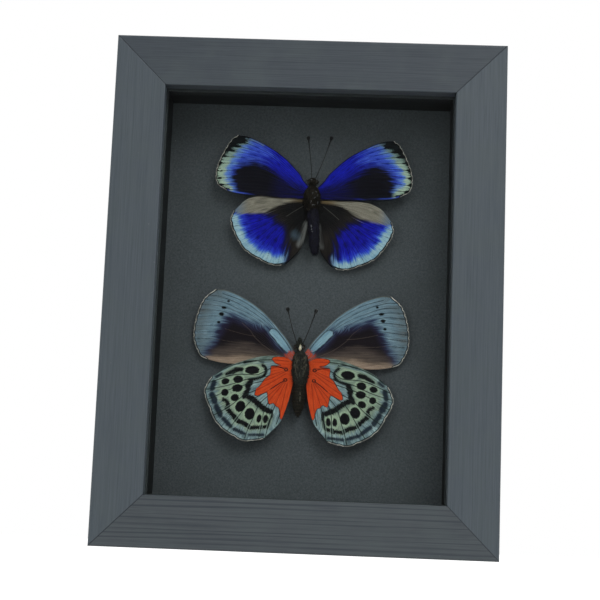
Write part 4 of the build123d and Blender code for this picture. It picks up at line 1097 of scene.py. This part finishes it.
for name, x, z, radius, paint, rise, cheek in (
    ("upper_head", UPPER_X, 121.4, 1.45, upper_coat, -0.5, ((1.0, 122.0), (1.2, 121.9))),
    ("lower_head", -0.8, 66.3, 1.4, lower_coat, 0.35, ((-1.9, 65.7), (-1.8, 65.2))),
):
    skull = ball(x, BODY_Y, z, radius)
    body_piece(name, (skull, coat(skull, 520, 0.7, 0.032, (0, -0.25, rise), chance)), paint, (cheek,), 0.14)
    for side_name, side in (("left", -1), ("right", 1)):
        eye = ball(x + side * radius * 0.86, BODY_Y - 0.25, z + 0.05, 0.84)
        piece(f"{name}_eye_{side_name}", eye[0], eye[1], eye_skin)

golden = coat_material("golden_tuft", (214, 200, 160), (252, 248, 232), (255, 252, 240))
tuft = form([(-0.55, 1.0, 64.9, 0.12), (-0.5, 0.75, 65.3, 0.34), (-0.48, 0.72, 65.8, 0.38), (-0.5, 0.85, 66.4, 0.24),
             (-0.52, 1.0, 66.8, 0.1)], 20, 0.08)
body_piece("mouth_tuft", (tuft, coat(tuft, 90, 0.4, 0.025, (0, -0.2, 0.8), chance)), golden)
palps = []
for side in (-1, 1):
    palp = form([(-0.8 + side * 0.5, BODY_Y - 0.7, 66.3, 0.4), (-0.78 + side * 0.46, BODY_Y - 0.8, 67.4, 0.44),
                 (-0.74 + side * 0.34, BODY_Y - 0.78, 68.5, 0.3), (-0.7 + side * 0.2, BODY_Y - 0.7, 69.2, 0.1)],
                16, 0.12, 0.05, 20.0)
    palps += [palp, coat(palp, 160, 0.5, 0.028, (0, -0.1, 0.9), chance)]
body_piece("lower_palps", palps, lower_coat)

# ---------------------------------------------------------------- antennae and legs
# Hair-thin antennae of many short joints, each ending in a black drop-shaped club. The lower
# specimen's legs lie folded flat on its thorax, with thin bristles along them.
horn, tree, shader = new_material("antenna_horn", 0.45, Specular_IOR_Level=0.25)
place = place_mm(tree)
level = put(tree, "SeparateXYZ", {0: place}).outputs["Z"]
joint = step(tree, sums(tree, "FRACT", sums(tree, "MULTIPLY", level, 2.1)), 0.0, 0.3, 1.0, 0.0)
colour = mix(tree, noise(tree, place, 5.0, 2.0), (7, 7, 8), (17, 17, 17))
colour = mix(tree, sums(tree, "MULTIPLY", joint, 0.2), colour, (70, 68, 62))
finish_with(tree, shader, colour, joint, 0.02)
for name, centre, stalks in (
    ("upper_antennae", UPPER_CENTRE, (((-0.7, 5.2), (-2.3, 19.0), 0.2), ((0.4, 5.4), (5.3, 19.2), 0.3))),
    ("lower_antennae", LOWER_CENTRE, (((-1.1, 7.0), (-4.6, 18.3), -0.2), ((0.5, 7.0), (4.5, 18.0), 0.2))),
):
    parts = []
    for root, tip, bow in stalks:
        start = Vector((centre[0] + root[0], BODY_Y, centre[1] + root[1]))
        end = Vector((centre[0] + tip[0], BODY_Y - 0.8, centre[1] + tip[1]))
        middle = (start + end) / 2 + Vector((bow, -0.3, 0))
        way = (end - middle).normalized()
        neck = end - way * 0.85
        parts.append(form([(*start, 0.14), (*((start + middle) / 2 + Vector((bow * 0.3, -0.1, 0))), 0.13),
                           (*middle, 0.125), (*((middle + neck) / 2), 0.13), (*neck, 0.24), (*(end - way * 0.3), 0.5),
                           (*(end + way * 0.3), 0.62), (*(end + way * 0.62), 0.54), (*(end + way * 0.85), 0.22)],
                          14, 0.12))
    body_piece(name, parts, horn)

legs = []
leg_y = BODY_Y - 2.9
for side in (-1, 1):
    for hip, knee, foot in ((1.6, 3.4, -0.2), (-1.2, 0.4, -3.6)):
        leg = form([(LOWER_X + side * 0.5, leg_y + 0.1, LOWER_CENTRE[1] + hip, 0.2),
                    (LOWER_X + side * 1.3, leg_y + 0.5, LOWER_CENTRE[1] + (hip + knee) / 2 + 0.1, 0.24),
                    (LOWER_X + side * 1.95, leg_y + 0.95, LOWER_CENTRE[1] + knee, 0.17),
                    (LOWER_X + side * 1.9, leg_y + 0.85, LOWER_CENTRE[1] + knee - 0.5, 0.19),
                    (LOWER_X + side * 1.4, leg_y + 0.5, LOWER_CENTRE[1] + (knee + foot) / 2, 0.18),
                    (LOWER_X + side * 0.9, leg_y + 0.25, LOWER_CENTRE[1] + foot, 0.1)], 12, 0.14)
        legs += [leg, coat(leg, 90, 0.5, 0.025, (0, -0.3, -0.8), chance)]
body_piece("lower_legs", legs, coat_material("leg_coat", (40, 38, 34), (104, 98, 84), (140, 130, 110)))
